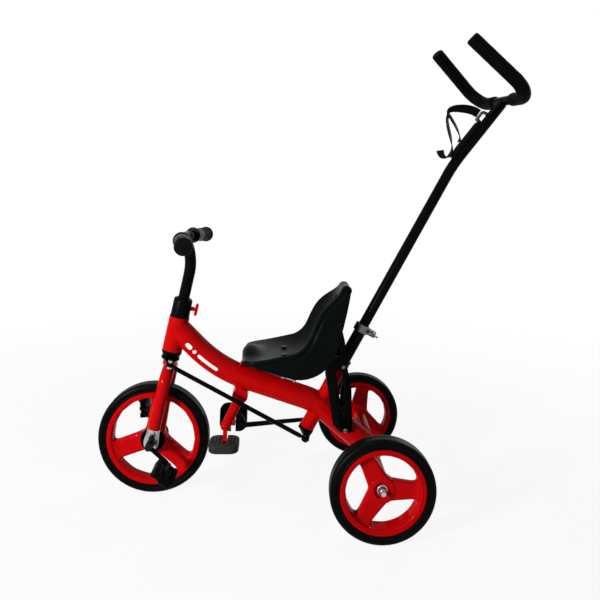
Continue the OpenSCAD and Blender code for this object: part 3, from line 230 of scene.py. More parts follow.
GREY_PLASTIC = Finish("grey_moulded", "grey_plastic", (0.018, 0.019, 0.018), 0.5, Grain.MOULDED, 1400.0,
                      0.2, specular=0.08, soft_edge=0.6)
STEEL = Finish("zinc_plate", "bright_steel", (0.45, 0.46, 0.48), 0.3, Grain.PLATED, 900.0, 0.06,
               metallic=1.0, soft_edge=0.6)
DULL_STEEL = Finish("dull_zinc", "bright_steel", (0.12, 0.125, 0.13), 0.36, Grain.PLATED, 900.0, 0.08,
                    metallic=1.0, soft_edge=0.6)
DARK_STEEL = Finish("blackened_steel", "bright_steel", (0.006, 0.007, 0.007), 0.34, Grain.PLATED, 900.0,
                    0.08, metallic=0.3, specular=0.1, soft_edge=0.6)
TYRE = Finish("tyre_foam", "tyre_rubber", (0.001, 0.0014, 0.0014), 0.36, Grain.CELLS, 900.0, 0.22,
              specular=0.03, tint=0.2)
GRIP = Finish("grip_black", "grip_rubber", (0.0015, 0.002, 0.002), 0.46, Grain.MOULDED, 1600.0, 0.25,
              specular=0.05)
GRIP_BAND = Finish("grip_grey", "grip_rubber", (0.03, 0.034, 0.034), 0.5, Grain.MOULDED, 1600.0, 0.2,
                   specular=0.1)
FOAM = Finish("sleeve_foam", "foam", (0.001, 0.0013, 0.0013), 0.6, Grain.CELLS, 700.0, 0.3,
              specular=0.025, tint=0.2)
WEBBING = Finish("woven_webbing", "webbing", (0.0022, 0.0026, 0.0028), 0.8, Grain.WOVEN, 90.0, 0.9,
                 sheen=0.01, specular=0.04)
STRIPE = Finish("white_stripe", "red_paint", (0.8, 0.8, 0.79), 0.32, Grain.PEEL, 400.0, 0.04, specular=0.2)
BY_SLOT = {f.slot: f for f in (RED_PAINT, RED_PLASTIC, BLACK_PAINT, BLACK_PLASTIC, GREY_PLASTIC, STEEL,
                               TYRE, GRIP, FOAM, WEBBING)}


def centre_of(node: str) -> Vector:
    """Middle of a CAD node's box."""
    low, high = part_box(node)
    return (low + high) / 2 / MM


def pivot(name: str) -> Vector:
    """Place of a joint of the record."""
    return Vector(next(j for j in frame["joints"] if j["name"] == name)["pos_m"]) / MM


def turn(axis: str, degrees: float) -> Matrix:
    """A turn about one axis."""
    return Matrix.Rotation(math.radians(degrees), 4, axis)


def shift(x: float, y: float, z: float) -> Matrix:
    """A move without a turn."""
    return Matrix.Translation((x, y, z))


def heading(degrees: float) -> Vector:
    """A unit step in the side view, as x and z."""
    return Vector((math.cos(math.radians(degrees)), 0.0, math.sin(math.radians(degrees))))


FLIP = Matrix.Scale(-1.0, 4, (0.0, 1.0, 0.0))
HEAD_LEAN = 12.0
POLE_LEAN = 28.0
AXLE_SETBACK = 4.0
SEAT_AT = (46.883, 326.915)
FRONT_AXLE = pivot("front_wheel_spin")
STEERING = Matrix.Translation(FRONT_AXLE + heading(HEAD_LEAN) * AXLE_SETBACK) @ turn("Y", -HEAD_LEAN)
POLE = Matrix.Translation(pivot("pole_turn")) @ turn("Y", -POLE_LEAN)
NECK_AT, NECK_BEND, NECK_LENGTH, HANDLE_TWIST, PRONG_TILT = 637.0, 9.8, 190.0, 7.0, 14.7
NECK = POLE @ turn("Z", HANDLE_TWIST) @ shift(0, 0, NECK_AT) @ turn("Y", -NECK_BEND)
HANDLE = NECK @ shift(0, 0, NECK_LENGTH) @ turn("Y", NECK_BEND - PRONG_TILT)


def added(bm: BMesh, before: set[BMVert]) -> list[BMVert]:
    """Vertices of a mesh that are not among the earlier ones."""
    return [v for v in bm.verts if v not in before]


def round_edges(bm: BMesh, edges: list[BMEdge], width: float, segments: int) -> None:
    """Rounds some edges of a mesh.

    Args:
        bm: The mesh.
        edges: The edges to round.
        width: Size of the rounding.
        segments: Faces across it.
    """
    bmesh.ops.bevel(bm, geom=edges, offset=width, segments=segments, profile=0.5, affect="EDGES",
                    clamp_overlap=True, material=-1)


def lathe(bm: BMesh, profile: Profile, matrix: Matrix, steps: int) -> None:
    """Spins a profile about the local Z axis.

    Args:
        bm: The mesh that takes the new faces.
        profile: Radius and height of each point.
        matrix: Where the local frame stands in the row frame.
        steps: Faces round the axis.
    """
    before = set(bm.verts)
    points = [bm.verts.new((r, 0.0, z)) for r, z in profile]
    lines = [bm.edges.new(pair) for pair in zip(points, points[1:])]
    bmesh.ops.spin(bm, geom=points + lines, axis=(0, 0, 1), cent=(0, 0, 0), angle=math.tau, steps=steps,
                   use_merge=True)
    bmesh.ops.remove_doubles(bm, verts=added(bm, before), dist=MERGE_DISTANCE)
    bmesh.ops.transform(bm, matrix=matrix, verts=added(bm, before))


def loft(bm: BMesh, loops: Sequence[Sequence[Vector]], closed: bool = False,
         caps: bool = True) -> list[list[BMVert]]:
    """Bridges a row of closed loops that have the same number of points.

    Args:
        bm: The mesh that takes the new faces.
        loops: Points of each loop, in order.
        closed: Whether the last loop joins the first.
        caps: Whether the end loops are filled.

    Returns:
        The vertices of each loop.
    """
    rings = []
    for loop in loops:
        ring = bmesh.ops.create_circle(bm, segments=len(loop), radius=1.0)["verts"]
        for vert, place in zip(ring, loop):
            vert.co = place
        rings.append(ring)
    sides = []
    for ring in rings:
        mine = set(ring)
        sides.append(list(dict.fromkeys(e for v in ring for e in v.link_edges if e.other_vert(v) in mine)))
    pairs = list(zip(sides, sides[1:])) + ([(sides[-1], sides[0])] if closed else [])
    for one, two in pairs:
        bmesh.ops.bridge_loops(bm, edges=one + two)
    if caps and not closed:
        for side in (sides[0], sides[-1]):
            bmesh.ops.contextual_create(bm, geom=side)
    return rings


def along_line(path: Sequence[Vector], section: Callable[[int], list[tuple[float, float]]],
               wide: Sequence[Vector] | None = None, closed: bool = False) -> list[list[Vector]]:
    """Loops of a section that follows a line of points.

    Args:
        path: Points of the line.
        section: Gives the section at a point, as offsets along its two side directions.
        wide: First side direction at each point, or none to carry one along without twist.
        closed: Whether the line closes on itself.

    Returns:
        One loop for each point.
    """
    count = len(path)
    loops, side = [], None
    for i, point in enumerate(path):
        ahead = path[(i + 1) % count] if closed else path[min(i + 1, count - 1)]
        behind = path[i - 1] if closed else path[max(i - 1, 0)]
        step = (ahead - behind).normalized()
        if wide is not None:
            side = wide[i]
        elif side is None:
            side = step.orthogonal()
        side = (side - step * side.dot(step)).normalized()
        other = step.cross(side)
        loops.append([point + side * a + other * b for a, b in section(i)])
    return loops


def round_section(radius: float, segments: int = 20) -> list[tuple[float, float]]:
    """Points of a circle."""
    return [(radius * math.cos(math.tau * k / segments), radius * math.sin(math.tau * k / segments))
            for k in range(segments)]


def flat_section(width: float, thick: float, segments: int = 20,
                 square: float = 0.4) -> list[tuple[float, float]]:
    """Points of a flat strip with rounded edges."""
    return [(math.copysign(abs(c) ** square, c) * width / 2, math.copysign(abs(s) ** square, s) * thick / 2)
            for c, s in round_section(1.0, segments)]


def bent_line(points: Sequence[Vector], radius: float, step: float = 4.0) -> list[Vector]:
    """A line of points with its corners bent to one radius.

    Args:
        points: Ends and corners of the line.
        radius: Radius of the bends.
        step: Longest distance between the points given back.

    Returns:
        Closely spaced points.
    """
    line = [points[0].copy()]

    def run_to(end: Vector) -> None:
        """Goes straight to the next point.

        Args:
            end: The point to reach.
        """
        start = line[-1].copy()
        count = max(1, math.ceil((end - start).length / step))
        line.extend(start.lerp(end, k / count) for k in range(1, count + 1))

    for before, corner, after in zip(points, points[1:], points[2:]):
        came, goes = (corner - before).normalized(), (after - corner).normalized()
        angle = came.angle(goes)
        trim = radius * math.tan(angle / 2)
        run_to(corner - came * trim)
        start = line[-1].copy()
        inward = (goes - came * goes.dot(came)).normalized()
        count = max(3, math.ceil(radius * angle / step))
        line.extend(start + came * radius * math.sin(angle * k / count)
                    + inward * radius * (1 - math.cos(angle * k / count)) for k in range(1, count + 1))
    run_to(points[-1])
    return line


def smooth_line(points: Sequence[Vector], parts: int = 5) -> list[Vector]:
    """A rounded line through points.

    Args:
        points: Points that the line passes through.
        parts: Parts between each pair of points.

    Returns:
        Closely spaced points.
    """
    rows = [points[0] * 2 - points[1], *points, points[-1] * 2 - points[-2]]
    line = []
    for a, b, c, d in zip(rows, rows[1:], rows[2:], rows[3:]):
        for k in range(parts):
            t = k / parts
            line.append(0.5 * (2 * b + (c - a) * t + (2 * a - 5 * b + 4 * c - d) * t * t
                               + (3 * b - a - 3 * c + d) * t ** 3))
    return line + [points[-1].copy()]


def prism(bm: BMesh, outline: Profile, low: float, high: float, matrix: Matrix, rounding: float,
          segments: int = 3) -> None:
    """A slab of an outline in the local XY plane with rounded edges.

    Args:
        bm: The mesh that takes the new faces.
        outline: Points of the outline in order.
        low: Height of its lower face.
        high: Height of its upper face.
        matrix: Where the local frame stands in the row frame.
        rounding: Size of the rounding of all its rim edges.
        segments: Faces across the rounding.
    """
    before = set(bm.verts)
    base = bm.faces.new([bm.verts.new((x, y, low)) for x, y in outline])
    raised = bmesh.ops.extrude_face_region(bm, geom=[base])["geom"]
    top = [v for v in raised if isinstance(v, BMVert)]
    bmesh.ops.translate(bm, verts=top, vec=(0, 0, high - low))
    edges = dict.fromkeys(e for v in added(bm, before) for e in v.link_edges)
    rims = [e for e in edges if abs(e.verts[0].co.z - e.verts[1].co.z) < MERGE_DISTANCE]
    if rounding > 0.0:
        round_edges(bm, rims, rounding, segments)
    bmesh.ops.transform(bm, matrix=matrix, verts=added(bm, before))


def block(bm: BMesh, size: Triple, at: Triple, matrix: Matrix, rounding: float) -> None:
    """A box with all its edges rounded.

    Args:
        bm: The mesh that takes the new faces.
        size: Lengths along the local axes.
        at: Its middle in the local frame.
        matrix: Where the local frame stands in the row frame.
        rounding: Radius of its edges.
    """
    before = set(bm.verts)
    verts = bmesh.ops.create_cube(bm, size=1.0)["verts"]
    bmesh.ops.scale(bm, vec=size, verts=verts)
    edges = list(dict.fromkeys(e for v in verts for e in v.link_edges))
    round_edges(bm, edges, rounding, 3)
    bmesh.ops.transform(bm, matrix=matrix @ shift(*at), verts=added(bm, before))


def rounded_rectangle(half_x: float, half_y: float, radius: float,
                      per_corner: int = 8) -> list[tuple[float, float]]:
    """Outline of a rectangle with round corners, counted from its right side.

    Args:
        half_x: Half of its length along X.
        half_y: Half of its length along Y.
        radius: Radius of the corners.
        per_corner: Parts of each corner.

    Returns:
        Points of the outline in order.
    """
    points = []
    for quarter, (sx, sy) in enumerate(((1, 1), (-1, 1), (-1, -1), (1, -1))):
        for k in range(per_corner + 1):
            angle = math.pi / 2 * (quarter + k / per_corner)
            points.append((sx * (half_x - radius) + radius * math.cos(angle),
                           sy * (half_y - radius) + radius * math.sin(angle)))
    return points


def to_object(bm: BMesh, name: str) -> bpy.types.Object:
    """Turns a mesh in millimetres into an object in metres.

    Args:
        bm: The mesh, which is used up.
        name: Name of the object and its mesh.

    Returns:
        The new object, in the scene.
    """
    bmesh.ops.recalc_face_normals(bm, faces=bm.faces[:])
    bmesh.ops.scale(bm, vec=(MM, MM, MM), verts=bm.verts[:])
    mesh = bpy.data.meshes.new(name)
    bm.to_mesh(mesh)
    bm.free()
    made = bpy.data.objects.new(name, mesh)
    bpy.context.scene.collection.objects.link(made)
    return made


@dataclass
class Piece:
    """A new mesh that rides on one body, with its finish and any further ones."""

    name: str
    body: str
    finish: Finish
    stands_for: tuple[str, ...] = ()
    smooth: float = 42.0
    more: tuple[Finish, ...] = ()

    def make(self, bm: BMesh) -> bpy.types.Object:
        """Turns a mesh in millimetres into the piece's object.

        Args:
            bm: The mesh, which is used up.

        Returns:
            The new object.
        """
        made = to_object(bm, self.name)
        mesh = made.data
        mesh.shade_smooth()
        mesh.set_sharp_from_angle(angle=math.radians(self.smooth))
        for finish in (self.finish, *self.more):
            mesh.materials.append(material_of(finish))
        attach(made, self.body)
        if self.stands_for:
            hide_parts(*self.stands_for)
        LOG.info("%s: %d faces on %s", self.name, len(mesh.polygons), self.body)
        return made


@dataclass(frozen=True)
class Lamp:
    """A square soft light, with its place and side in metres and its power in watts."""

    name: str
    at: Triple
    power: float
    size: float

    def build(self, aim: Vector) -> None:
        """Hangs the light.

        Args:
            aim: The point that it looks at, in metres.
        """
        data = bpy.data.lights.new(self.name, "AREA")
        data.energy, data.size = self.power, self.size
        lamp = bpy.data.objects.new(self.name, data)
        look = aim - Vector(self.at)
        lamp.matrix_world = Matrix.Translation(self.at) @ look.to_track_quat("-Z", "Y").to_matrix().to_4x4()
        bpy.context.scene.collection.objects.link(lamp)


@dataclass
class Stage:
    """Camera, lights, floor and white surround, set as the photo was taken."""

    camera_at: Triple = (54.03, 1391.3, 703.0)
    yaw: float = -1.489
    pitch: float = 2.341
    roll: float = 0.951
    focal_pixels: float = 604.12
    picture: float = 600.0
    centre_row: float = 215.09
    sensor: float = 36.0
    near_clip: float = 0.05
    far_clip: float = 50.0
    surround_light: float = 0.05
    floor_half: float = 12.0
    floor_grey: float = 0.8
    floor_roughness: float = 0.9
    shadow_clear: float = 0.9
    fade_from: float = 0.6
    fade_to: float = 2.2
    lamps_aim: Triple = (0.0, 0.0, 0.35)
    lamps: tuple[Lamp, ...] = (
        Lamp("key_light", (1.9, 1.8, 1.0), 80.0, 0.3), Lamp("top_light", (0.6, 0.2, 2.3), 8.0, 0.7),
        Lamp("back_light", (-1.6, -1.6, 1.3), 20.0, 0.7))

    def camera(self) -> None:
        """Places the camera at the photo's view."""
        data = bpy.data.cameras.new("photo_camera")
        data.sensor_width = self.sensor
        data.lens = self.sensor * self.focal_pixels / self.picture
        data.shift_y = (self.centre_row - self.picture / 2) / self.picture
        data.clip_start, data.clip_end = self.near_clip, self.far_clip
        side_view = Matrix(((-1, 0, 0), (0, 0, -1), (0, -1, 0))).to_4x4()
        rows = (turn("Z", self.roll) @ turn("X", self.pitch) @ turn("Y", self.yaw) @ side_view).to_3x3()
        axes = Matrix((rows[0], -rows[1], -rows[2])).transposed().to_4x4()
        camera = bpy.data.objects.new("photo_camera", data)
        camera.matrix_world = Matrix.Translation(Vector(self.camera_at) * MM) @ axes
        bpy.context.scene.collection.objects.link(camera)
        bpy.context.scene.camera = camera

    def seen_ray(self, tree: bpy.types.NodeTree) -> bpy.types.NodeSocket:
        """Adds nodes that tell rays which show the surround from rays that light the object.

        Args:
            tree: The nodes and links to add to.

        Returns:
            A socket that is one for camera, glossy and transmission rays.
        """
        path = tree.nodes.new("ShaderNodeLightPath")
        total = path.outputs["Is Camera Ray"]
        for name in ("Is Glossy Ray", "Is Transmission Ray"):
            total = combine(tree, "MAXIMUM", total, path.outputs[name])
        return total

    def surround(self) -> None:
        """Makes the world white to the camera and soft grey as light."""
        world = bpy.data.worlds.new("white_surround")
        world.use_nodes = True
        tree = world.node_tree
        level = set_inputs(tree.nodes.new("ShaderNodeMapRange"),
                           {"To Min": self.surround_light, "To Max": 1.0})
        tree.links.new(self.seen_ray(tree), level.inputs["Value"])
        background = set_inputs(tree.nodes["Background"], {"Color": (1.0, 1.0, 1.0, 1.0)})
        tree.links.new(level.outputs["Result"], background.inputs["Strength"])
        bpy.context.scene.world = world

    def floor_paper(self) -> bpy.types.Material:
        """Makes the floor's material, white to the camera except in the shadow.

        Returns:
            The material.
        """
        material = bpy.data.materials.new("floor_paper")
        material.use_nodes = True
        tree = material.node_tree
        nodes, links = tree.nodes, tree.links
        paper = set_inputs(nodes["Principled BSDF"], {
            "Base Color": (self.floor_grey, self.floor_grey, self.floor_grey, 1.0),
            "Roughness": self.floor_roughness, "Specular IOR Level": 0.0})
        glow = nodes.new("ShaderNodeEmission")
        mix = nodes.new("ShaderNodeMixShader")
        place = nodes.new("ShaderNodeTexCoord")
        away = nodes.new("ShaderNodeVectorMath")
        away.operation = "LENGTH"
        links.new(place.outputs["Object"], away.inputs[0])
        fade = set_inputs(nodes.new("ShaderNodeMapRange"), {
            "From Min": self.fade_from, "From Max": self.fade_to,
            "To Min": self.shadow_clear, "To Max": 1.0})
        links.new(away.outputs["Value"], fade.inputs["Value"])
        links.new(combine(tree, "MULTIPLY", self.seen_ray(tree), fade.outputs["Result"]), mix.inputs["Fac"])
        links.new(paper.outputs["BSDF"], mix.inputs[1])
        links.new(glow.outputs["Emission"], mix.inputs[2])
        links.new(mix.outputs["Shader"], nodes["Material Output"].inputs["Surface"])
        return material

    def floor(self) -> None:
        """Lays a pale floor that keeps the trike's shadow."""
        bm = bmesh.new()
        bmesh.ops.create_grid(bm, x_segments=1, y_segments=1, size=self.floor_half)
        mesh = bpy.data.meshes.new("studio_floor")
        bm.to_mesh(mesh)
        bm.free()
        mesh.materials.append(self.floor_paper())
        floor = bpy.data.objects.new("studio_floor", mesh)
        bpy.context.scene.collection.objects.link(floor)

    def build(self) -> None:
        """Sets the whole stage."""
        bpy.context.scene.view_settings.view_transform = "Standard"
        self.camera()
        self.surround()
        self.floor()
        for lamp in self.lamps:
            lamp.build(Vector(self.lamps_aim))


@dataclass
class WristStrap:
    """Webbing loop on the neck of the push pole, with its free tail and stitched pad."""

    width: float = 20.0
    thick: float = 2.4
    band_out: float = 14.5
    band_half: tuple[float, float] = (5.4, 10.2)
    band_corner: float = 4.0
    band: Profile = (
        (12.0, 0.6), (12.8, 0.72), (15, 0.8), (30, 0.88), (38, 1.0), (66, 1.0), (68, 0.96), (70, 1.0),
        (104, 1.0), (109, 0.96), (111.2, 0.88), (112, 0.75))
    loop: Sequence[Triple] = (
        (29, 129, 80), (40, 127, 78), (54, 121, 72), (68, 112, 60), (79, 103, 48), (85, 96, 42), (88, 90, 38),
        (87, 85, 36), (82, 82, 36), (72, 79, 36), (54, 73, 34), (38, 66, 28), (28, 59, 16), (23, 50, 0))
    tail: Sequence[Triple] = (
        (84, 82, 36), (78, 71, 36), (67, 61, 38), (55, 52, 38), (44, 44, 34), (34, 36, 24), (26, 28, 12),
        (22, 19, 4), (21, 10, 0), (24, 3, 8), (31, 0, 18), (39, 2, 28), (46, 7, 36))

    def webbing(self, name: str, route: Sequence[Triple], far_end: str) -> None:
        """Weaves one length of webbing along a route.

        Args:
            name: Name of the piece and of the CAD node it stands for.
            route: Distance forward, height and roll at each point, in the neck's frame.
            far_end: What its far end is; not used.
        """
        rolls = smooth_line([Vector((roll, 0.0, 0.0)) for _, _, roll in route])
        flat = smooth_line([Vector((ahead, 0.0, up)) for ahead, up, _ in route])
        path = [NECK @ p for p in flat]
        wide = []
        for i, roll in enumerate(rolls):
            step = (flat[min(i + 1, len(flat) - 1)] - flat[max(i - 1, 0)]).normalized()
            side = Vector((-step.z, 0.0, step.x))
            lean = math.radians(roll.x)
            wide.append(NECK.to_3x3() @ (Vector((0, 1, 0)) * math.cos(lean) + side * math.sin(lean)))
        bm = bmesh.new()
        rings = loft(bm, along_line(path, lambda i: flat_section(self.width, self.thick), wide))
        weave = bm.loops.layers.uv.new("weave")
        length = sum((b - a).length for a, b in zip(path, path[1:]))
        where = {vert: (k / len(ring), i / (len(rings) - 1) * length / self.width)
                 for i, ring in enumerate(rings) for k, vert in enumerate(ring)}
        for face in bm.faces:
            for corner in face.loops:
                corner[weave].uv = where[corner.vert]
        piece = Piece(f"{name}_webbing", "push_pole", WEBBING, (name,)).make(bm)
        LOG.info("%s is %.0f mm long", name, length)

    def pad(self) -> None:
        """Sews the padded band that holds the loop's lower end to the neck."""
        outline = rounded_rectangle(*self.band_half, self.band_corner)
        loops = []
        for up, pinch in self.band:
            loops.append([NECK @ Vector((self.band_out + x * pinch, y * (0.5 + pinch / 2), up))
                          for x, y in outline])
        bm = bmesh.new()
        loft(bm, loops)
        piece = Piece("strap_band", "push_pole", WEBBING, ("strap_pad",)).make(bm)

    def build(self) -> None:
        """Makes the loop, the tail and the pad."""
        self.webbing("strap", self.loop, "object")
        self.webbing("strap_tail", self.tail, "bare")
        self.pad()


class Hub(Enum):
    """What the middle of a wheel looks like."""

    CAPPED = "capped"
    RECESSED = "recessed"


@dataclass
class Wheel:
    """A three-spoke moulded wheel and its foam tyre."""

    name: str
    body: str
    phase: float
    spoke: float
    hub: Hub
    outer: float
    tyre_depth: float = 19.5
    rim_depth: float = 12.5
    half_rim: float = 17.0
    half_tyre: float = 19.0
    half_spoke: float = 9.6
    shoulder: float = 9.0
    bead: Profile = (
        (-4.8, 12.8), (0.3, 12.8), (0.4, 17.2), (0.9, 18.5), (1.9, 19.2), (3.1, 19.1), (4.0, 18.3),
        (4.7, 17.5), (5.7, 17.4), (7.2, 18.2), (8.8, 18.8))
    bead_end: float = 9.6
    seam: float = 0.35
    dished: float = 5.0
    window_corner: float = 6.5
    window_gap: float = 0.5
    window_from: float = 40.0
    window_nose_at: float = 46.0
    window_nose: float = 18.0
    hub_radius: float = 20.0
    ring_overlap: float = 1.0
    spoke_round: float = 6.0
    round_share: float = 0.9
    spoke_merge: float = 0.02
    swell_run: float = 16.0
    hub_swell_end: float = 42.0
    hub_swell: float = 7.0
    ring_swell: float = 4.5
    steps: int = 96
    facets: int = 120
    radius: float = field(init=False)
    frame: Matrix = field(init=False)

    def __post_init__(self) -> None:
        """Takes the wheel's place and size from its CAD tyre."""
        low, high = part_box(f"{self.name}_tyre")
        self.radius = (high.z - low.z) / 2 / MM
        self.frame = Matrix.Translation(centre_of(f"{self.name}_tyre")) @ turn("X", 90)

    @property
    def lip(self) -> float:
        """Outer radius of the rim."""
        return self.radius - self.tyre_depth

    @property
    def inside(self) -> float:
        """Inner radius of the rim's ring."""
        return self.lip - self.rim_depth

    def tyre(self) -> None:
        """Turns the tyre with its bead line and round shoulders."""
        lip, top, half, corner = self.lip, self.radius, self.half_tyre, self.shoulder
        side = [(lip + r, z) for r, z in self.bead] + [(lip + self.bead_end, half)]
        for angle in (math.radians(k) for k in range(0, 91, 15)):
            side.append((top - corner + corner * math.sin(angle), half - corner + corner * math.cos(angle)))
        side += [(top, 3.0), (top - self.seam, 1.2), (top - self.seam, 0.4)]
        profile = side + [(r, -z) for r, z in reversed(side)]
        bm = bmesh.new()
        lathe(bm, profile + profile[:1], self.frame, self.facets)
        Piece(f"{self.name}_tyre_body", self.body, TYRE, (f"{self.name}_tyre",)).make(bm)

    def window_reach(self) -> Callable[[Vector, Vector], float]:
        """Gives how far a window reaches from a point inside it.

        Returns:
            A function of the point and the direction.
        """
        reach = self.inside - self.window_corner - self.window_gap
        swing = 60 - math.degrees(math.asin((self.spoke / 2 + self.window_corner) / reach))
        rounds = [(Vector((self.window_nose_at, 0.0)), self.window_nose)]
        rounds += [(Vector((math.cos(a), math.sin(a))) * reach, self.window_corner)
                   for a in (math.radians(k * swing / 2) for k in range(-2, 3))]
        normals = [Vector(place) for place in round_section(1.0, 360)]
        support = [max(c.dot(n) + r for c, r in rounds) for n in normals]

        def reach_of(point: Vector, step: Vector) -> float:
            """Distance to the window's edge."""
            return min((h - point.dot(n)) / step.dot(n) for n, h in zip(normals, support)
                       if step.dot(n) > 0.01)

        return reach_of

    def sector_reach(self, point: Vector, step: Vector, hub: float, ring: float) -> float:
        """Distance from a point to the edge of its third of the wheel.

        Args:
            point: A point in the window.
            step: Direction to go.
            hub: Radius of the inner edge.
            ring: Radius of the outer edge.

        Returns:
            The distance.
        """
        found = []
        for radius in (hub, ring):
            along, room = point.dot(step), point.length_squared - radius * radius
            if along * along >= room:
                root = math.sqrt(along * along - room)
                found += [t for t in (-along - root, -along + root) if t > 0.0]
        for side in SIDES:
            normal = Vector((-math.sin(math.pi / 3), side * math.cos(math.pi / 3)))
            if step.dot(normal) > 1e-6:
                found.append(-point.dot(normal) / step.dot(normal))
        return min(found)

    def face_height(self, radius: float) -> float:
        """Half thickness of the spokes, which swell towards the hub and the ring.

        Args:
            radius: Distance from the axle.

        Returns:
            The half thickness.
        """
        to_hub = min(max((self.hub_swell_end - radius) / self.swell_run, 0.0), 1.0)
        to_ring = min(max((radius - self.inside + self.swell_run) / self.swell_run, 0.0), 1.0)
        swell = 0.0 if self.hub is Hub.RECESSED else self.hub_swell
        return self.half_spoke + swell * to_hub ** 2 + self.ring_swell * to_ring ** 2

    def spokes(self, bm: BMesh) -> None:
        """Builds the three spokes around their windows.

        Args:
            bm: The mesh that takes the spokes.
        """
        hub, ring = self.hub_radius, self.inside + self.ring_overlap
        reach = self.window_reach()
        middle = Vector(((self.window_from + self.inside) / 2, 0.0))
        bearings = [math.tau * k / self.steps for k in range(self.steps)]
        for radius in (hub, ring):
            for side in SIDES:
                corner = Vector((math.cos(math.pi / 3), side * math.sin(math.pi / 3))) * radius - middle
                angle = math.atan2(corner.y, corner.x) % math.tau
                nearest = min(range(self.steps), key=lambda k: abs(bearings[k] - angle))
                bearings[nearest] = angle
        rows = [(part * math.pi / 10, 0.0) for part in range(6)]
        rows += [(math.pi / 2, share) for share in (0.2, 0.45, 0.7, 0.88, 1.0)]
        upper = []
        for bend, share in rows:
            loop = []
            for angle in bearings:
                step = Vector((math.cos(angle), math.sin(angle)))
                near = reach(middle, step)
                gap = self.sector_reach(middle, step, hub, ring) - near
                rounding = min(self.spoke_round, self.round_share * gap)
                place = middle + step * (near + rounding * (1 - math.cos(bend)) + (gap - rounding) * share)
                height = self.face_height(place.length) - rounding * (1 - math.sin(bend))
                loop.append(Vector((*place, height)))
            upper.append(loop)
        lower = [[Vector((p.x, p.y, -p.z)) for p in loop] for loop in upper]
        loft(bm, list(reversed(upper)) + lower, caps=False)
        if self.hub is Hub.RECESSED:
            bmesh.ops.translate(bm, vec=(0, 0, -self.dished * self.outer), verts=bm.verts[:])
        bmesh.ops.rotate(bm, cent=(0, 0, 0), matrix=turn("Z", self.phase + 60).to_3x3(), verts=bm.verts[:])
        bmesh.ops.spin(bm, geom=bm.verts[:] + bm.edges[:] + bm.faces[:], cent=(0, 0, 0), axis=(0, 0, 1),
                       angle=math.radians(240), steps=2, use_duplicate=True)
        bmesh.ops.remove_doubles(bm, verts=bm.verts[:], dist=self.spoke_merge)
        bmesh.ops.transform(bm, matrix=self.frame, verts=bm.verts[:])

    def ring(self, bm: BMesh) -> None:
        """Turns the ring with its rolled lips.

        Args:
            bm: The mesh that takes the ring.
        """
        inside, lip, half = self.inside, self.lip, self.half_rim
        face = [(inside, 0.0), (inside, 12.6), (inside + 0.5, 14.6), (inside + 1.6, 16.2),
                (inside + 3.2, half), (inside + 4.6, half), (inside + 5.2, half - 0.9),
                (inside + 6.4, half - 0.9), (inside + 7.0, half), (lip - 1.8, half), (lip - 0.5, half - 0.6),
                (lip, half - 1.8), (lip, 13.0), (lip - 5.0, 13.0)]
        profile = face + [(r, -z) for r, z in reversed(face)]
        lathe(bm, profile, self.frame, self.facets)

    def middle(self, bm: BMesh) -> None:
        """Turns the hub, with a cup for the nut in its outer face where it is recessed.

        Args:
            bm: The mesh that takes the hub.
        """
        plain = [(8.0, 20.0), (24.5, 20.0), (26.3, 19.3), (27.0, 17.6), (27.0, 10.0)]
        cup = [(8.0, 0.5), (15.4, 0.5), (16.4, 1.3), (16.8, 2.5), (16.8, 5.2), (17.6, 6.4), (23.0, 6.4),
               (25.4, 5.7), (27.0, 4.0), (27.0, 2.0)]
        outside = cup if self.hub is Hub.RECESSED else plain
        profile = outside + [(r, -z) for r, z in reversed(plain)]
        lathe(bm, profile + profile[:1], self.frame @ Matrix.Scale(self.outer, 4, (0, 0, 1)), 72)

    def build(self) -> None:
        """Makes the tyre and the rim."""
        self.tyre()
        bm = bmesh.new()
        self.spokes(bm)
        self.ring(bm)
        self.middle(bm)
        Piece(f"{self.name}_wheel_rim", self.body, RED_PLASTIC, (f"{self.name}_rim",), smooth=50.0).make(bm)


@dataclass
class RearAxle:
    """Domed nuts in the rear hubs."""

    nut_out: float = 211.1
    flange: Profile = ((5.2, 0.0), (11.0, 0.0), (11.0, 1.3), (10.4, 2.0), (8.9, 2.2), (8.6, 3.0), (8.6, 6.4),
                       (8.0, 7.2))
    dome_at: float = 7.2
    dome_radius: float = 7.5
    dome_height: float = 7.3

    def build(self) -> None:
        """Turns both nuts."""
        dome = [(self.dome_radius * math.cos(a), self.dome_at + self.dome_height * math.sin(a))
                for a in (math.radians(k) for k in range(10, 90, 16))]
        profile = [*self.flange, *dome, (0.0, self.dome_at + self.dome_height)]
        middle = centre_of("rear_axle")
        bm = bmesh.new()
        for side in SIDES:
            place = shift(middle.x, side * self.nut_out, middle.z) @ turn("X", -90 * side)
            lathe(bm, profile, place, 48)
        Piece("axle_nut_domes", "frame", STEEL, ("axle_nuts",)).make(bm)


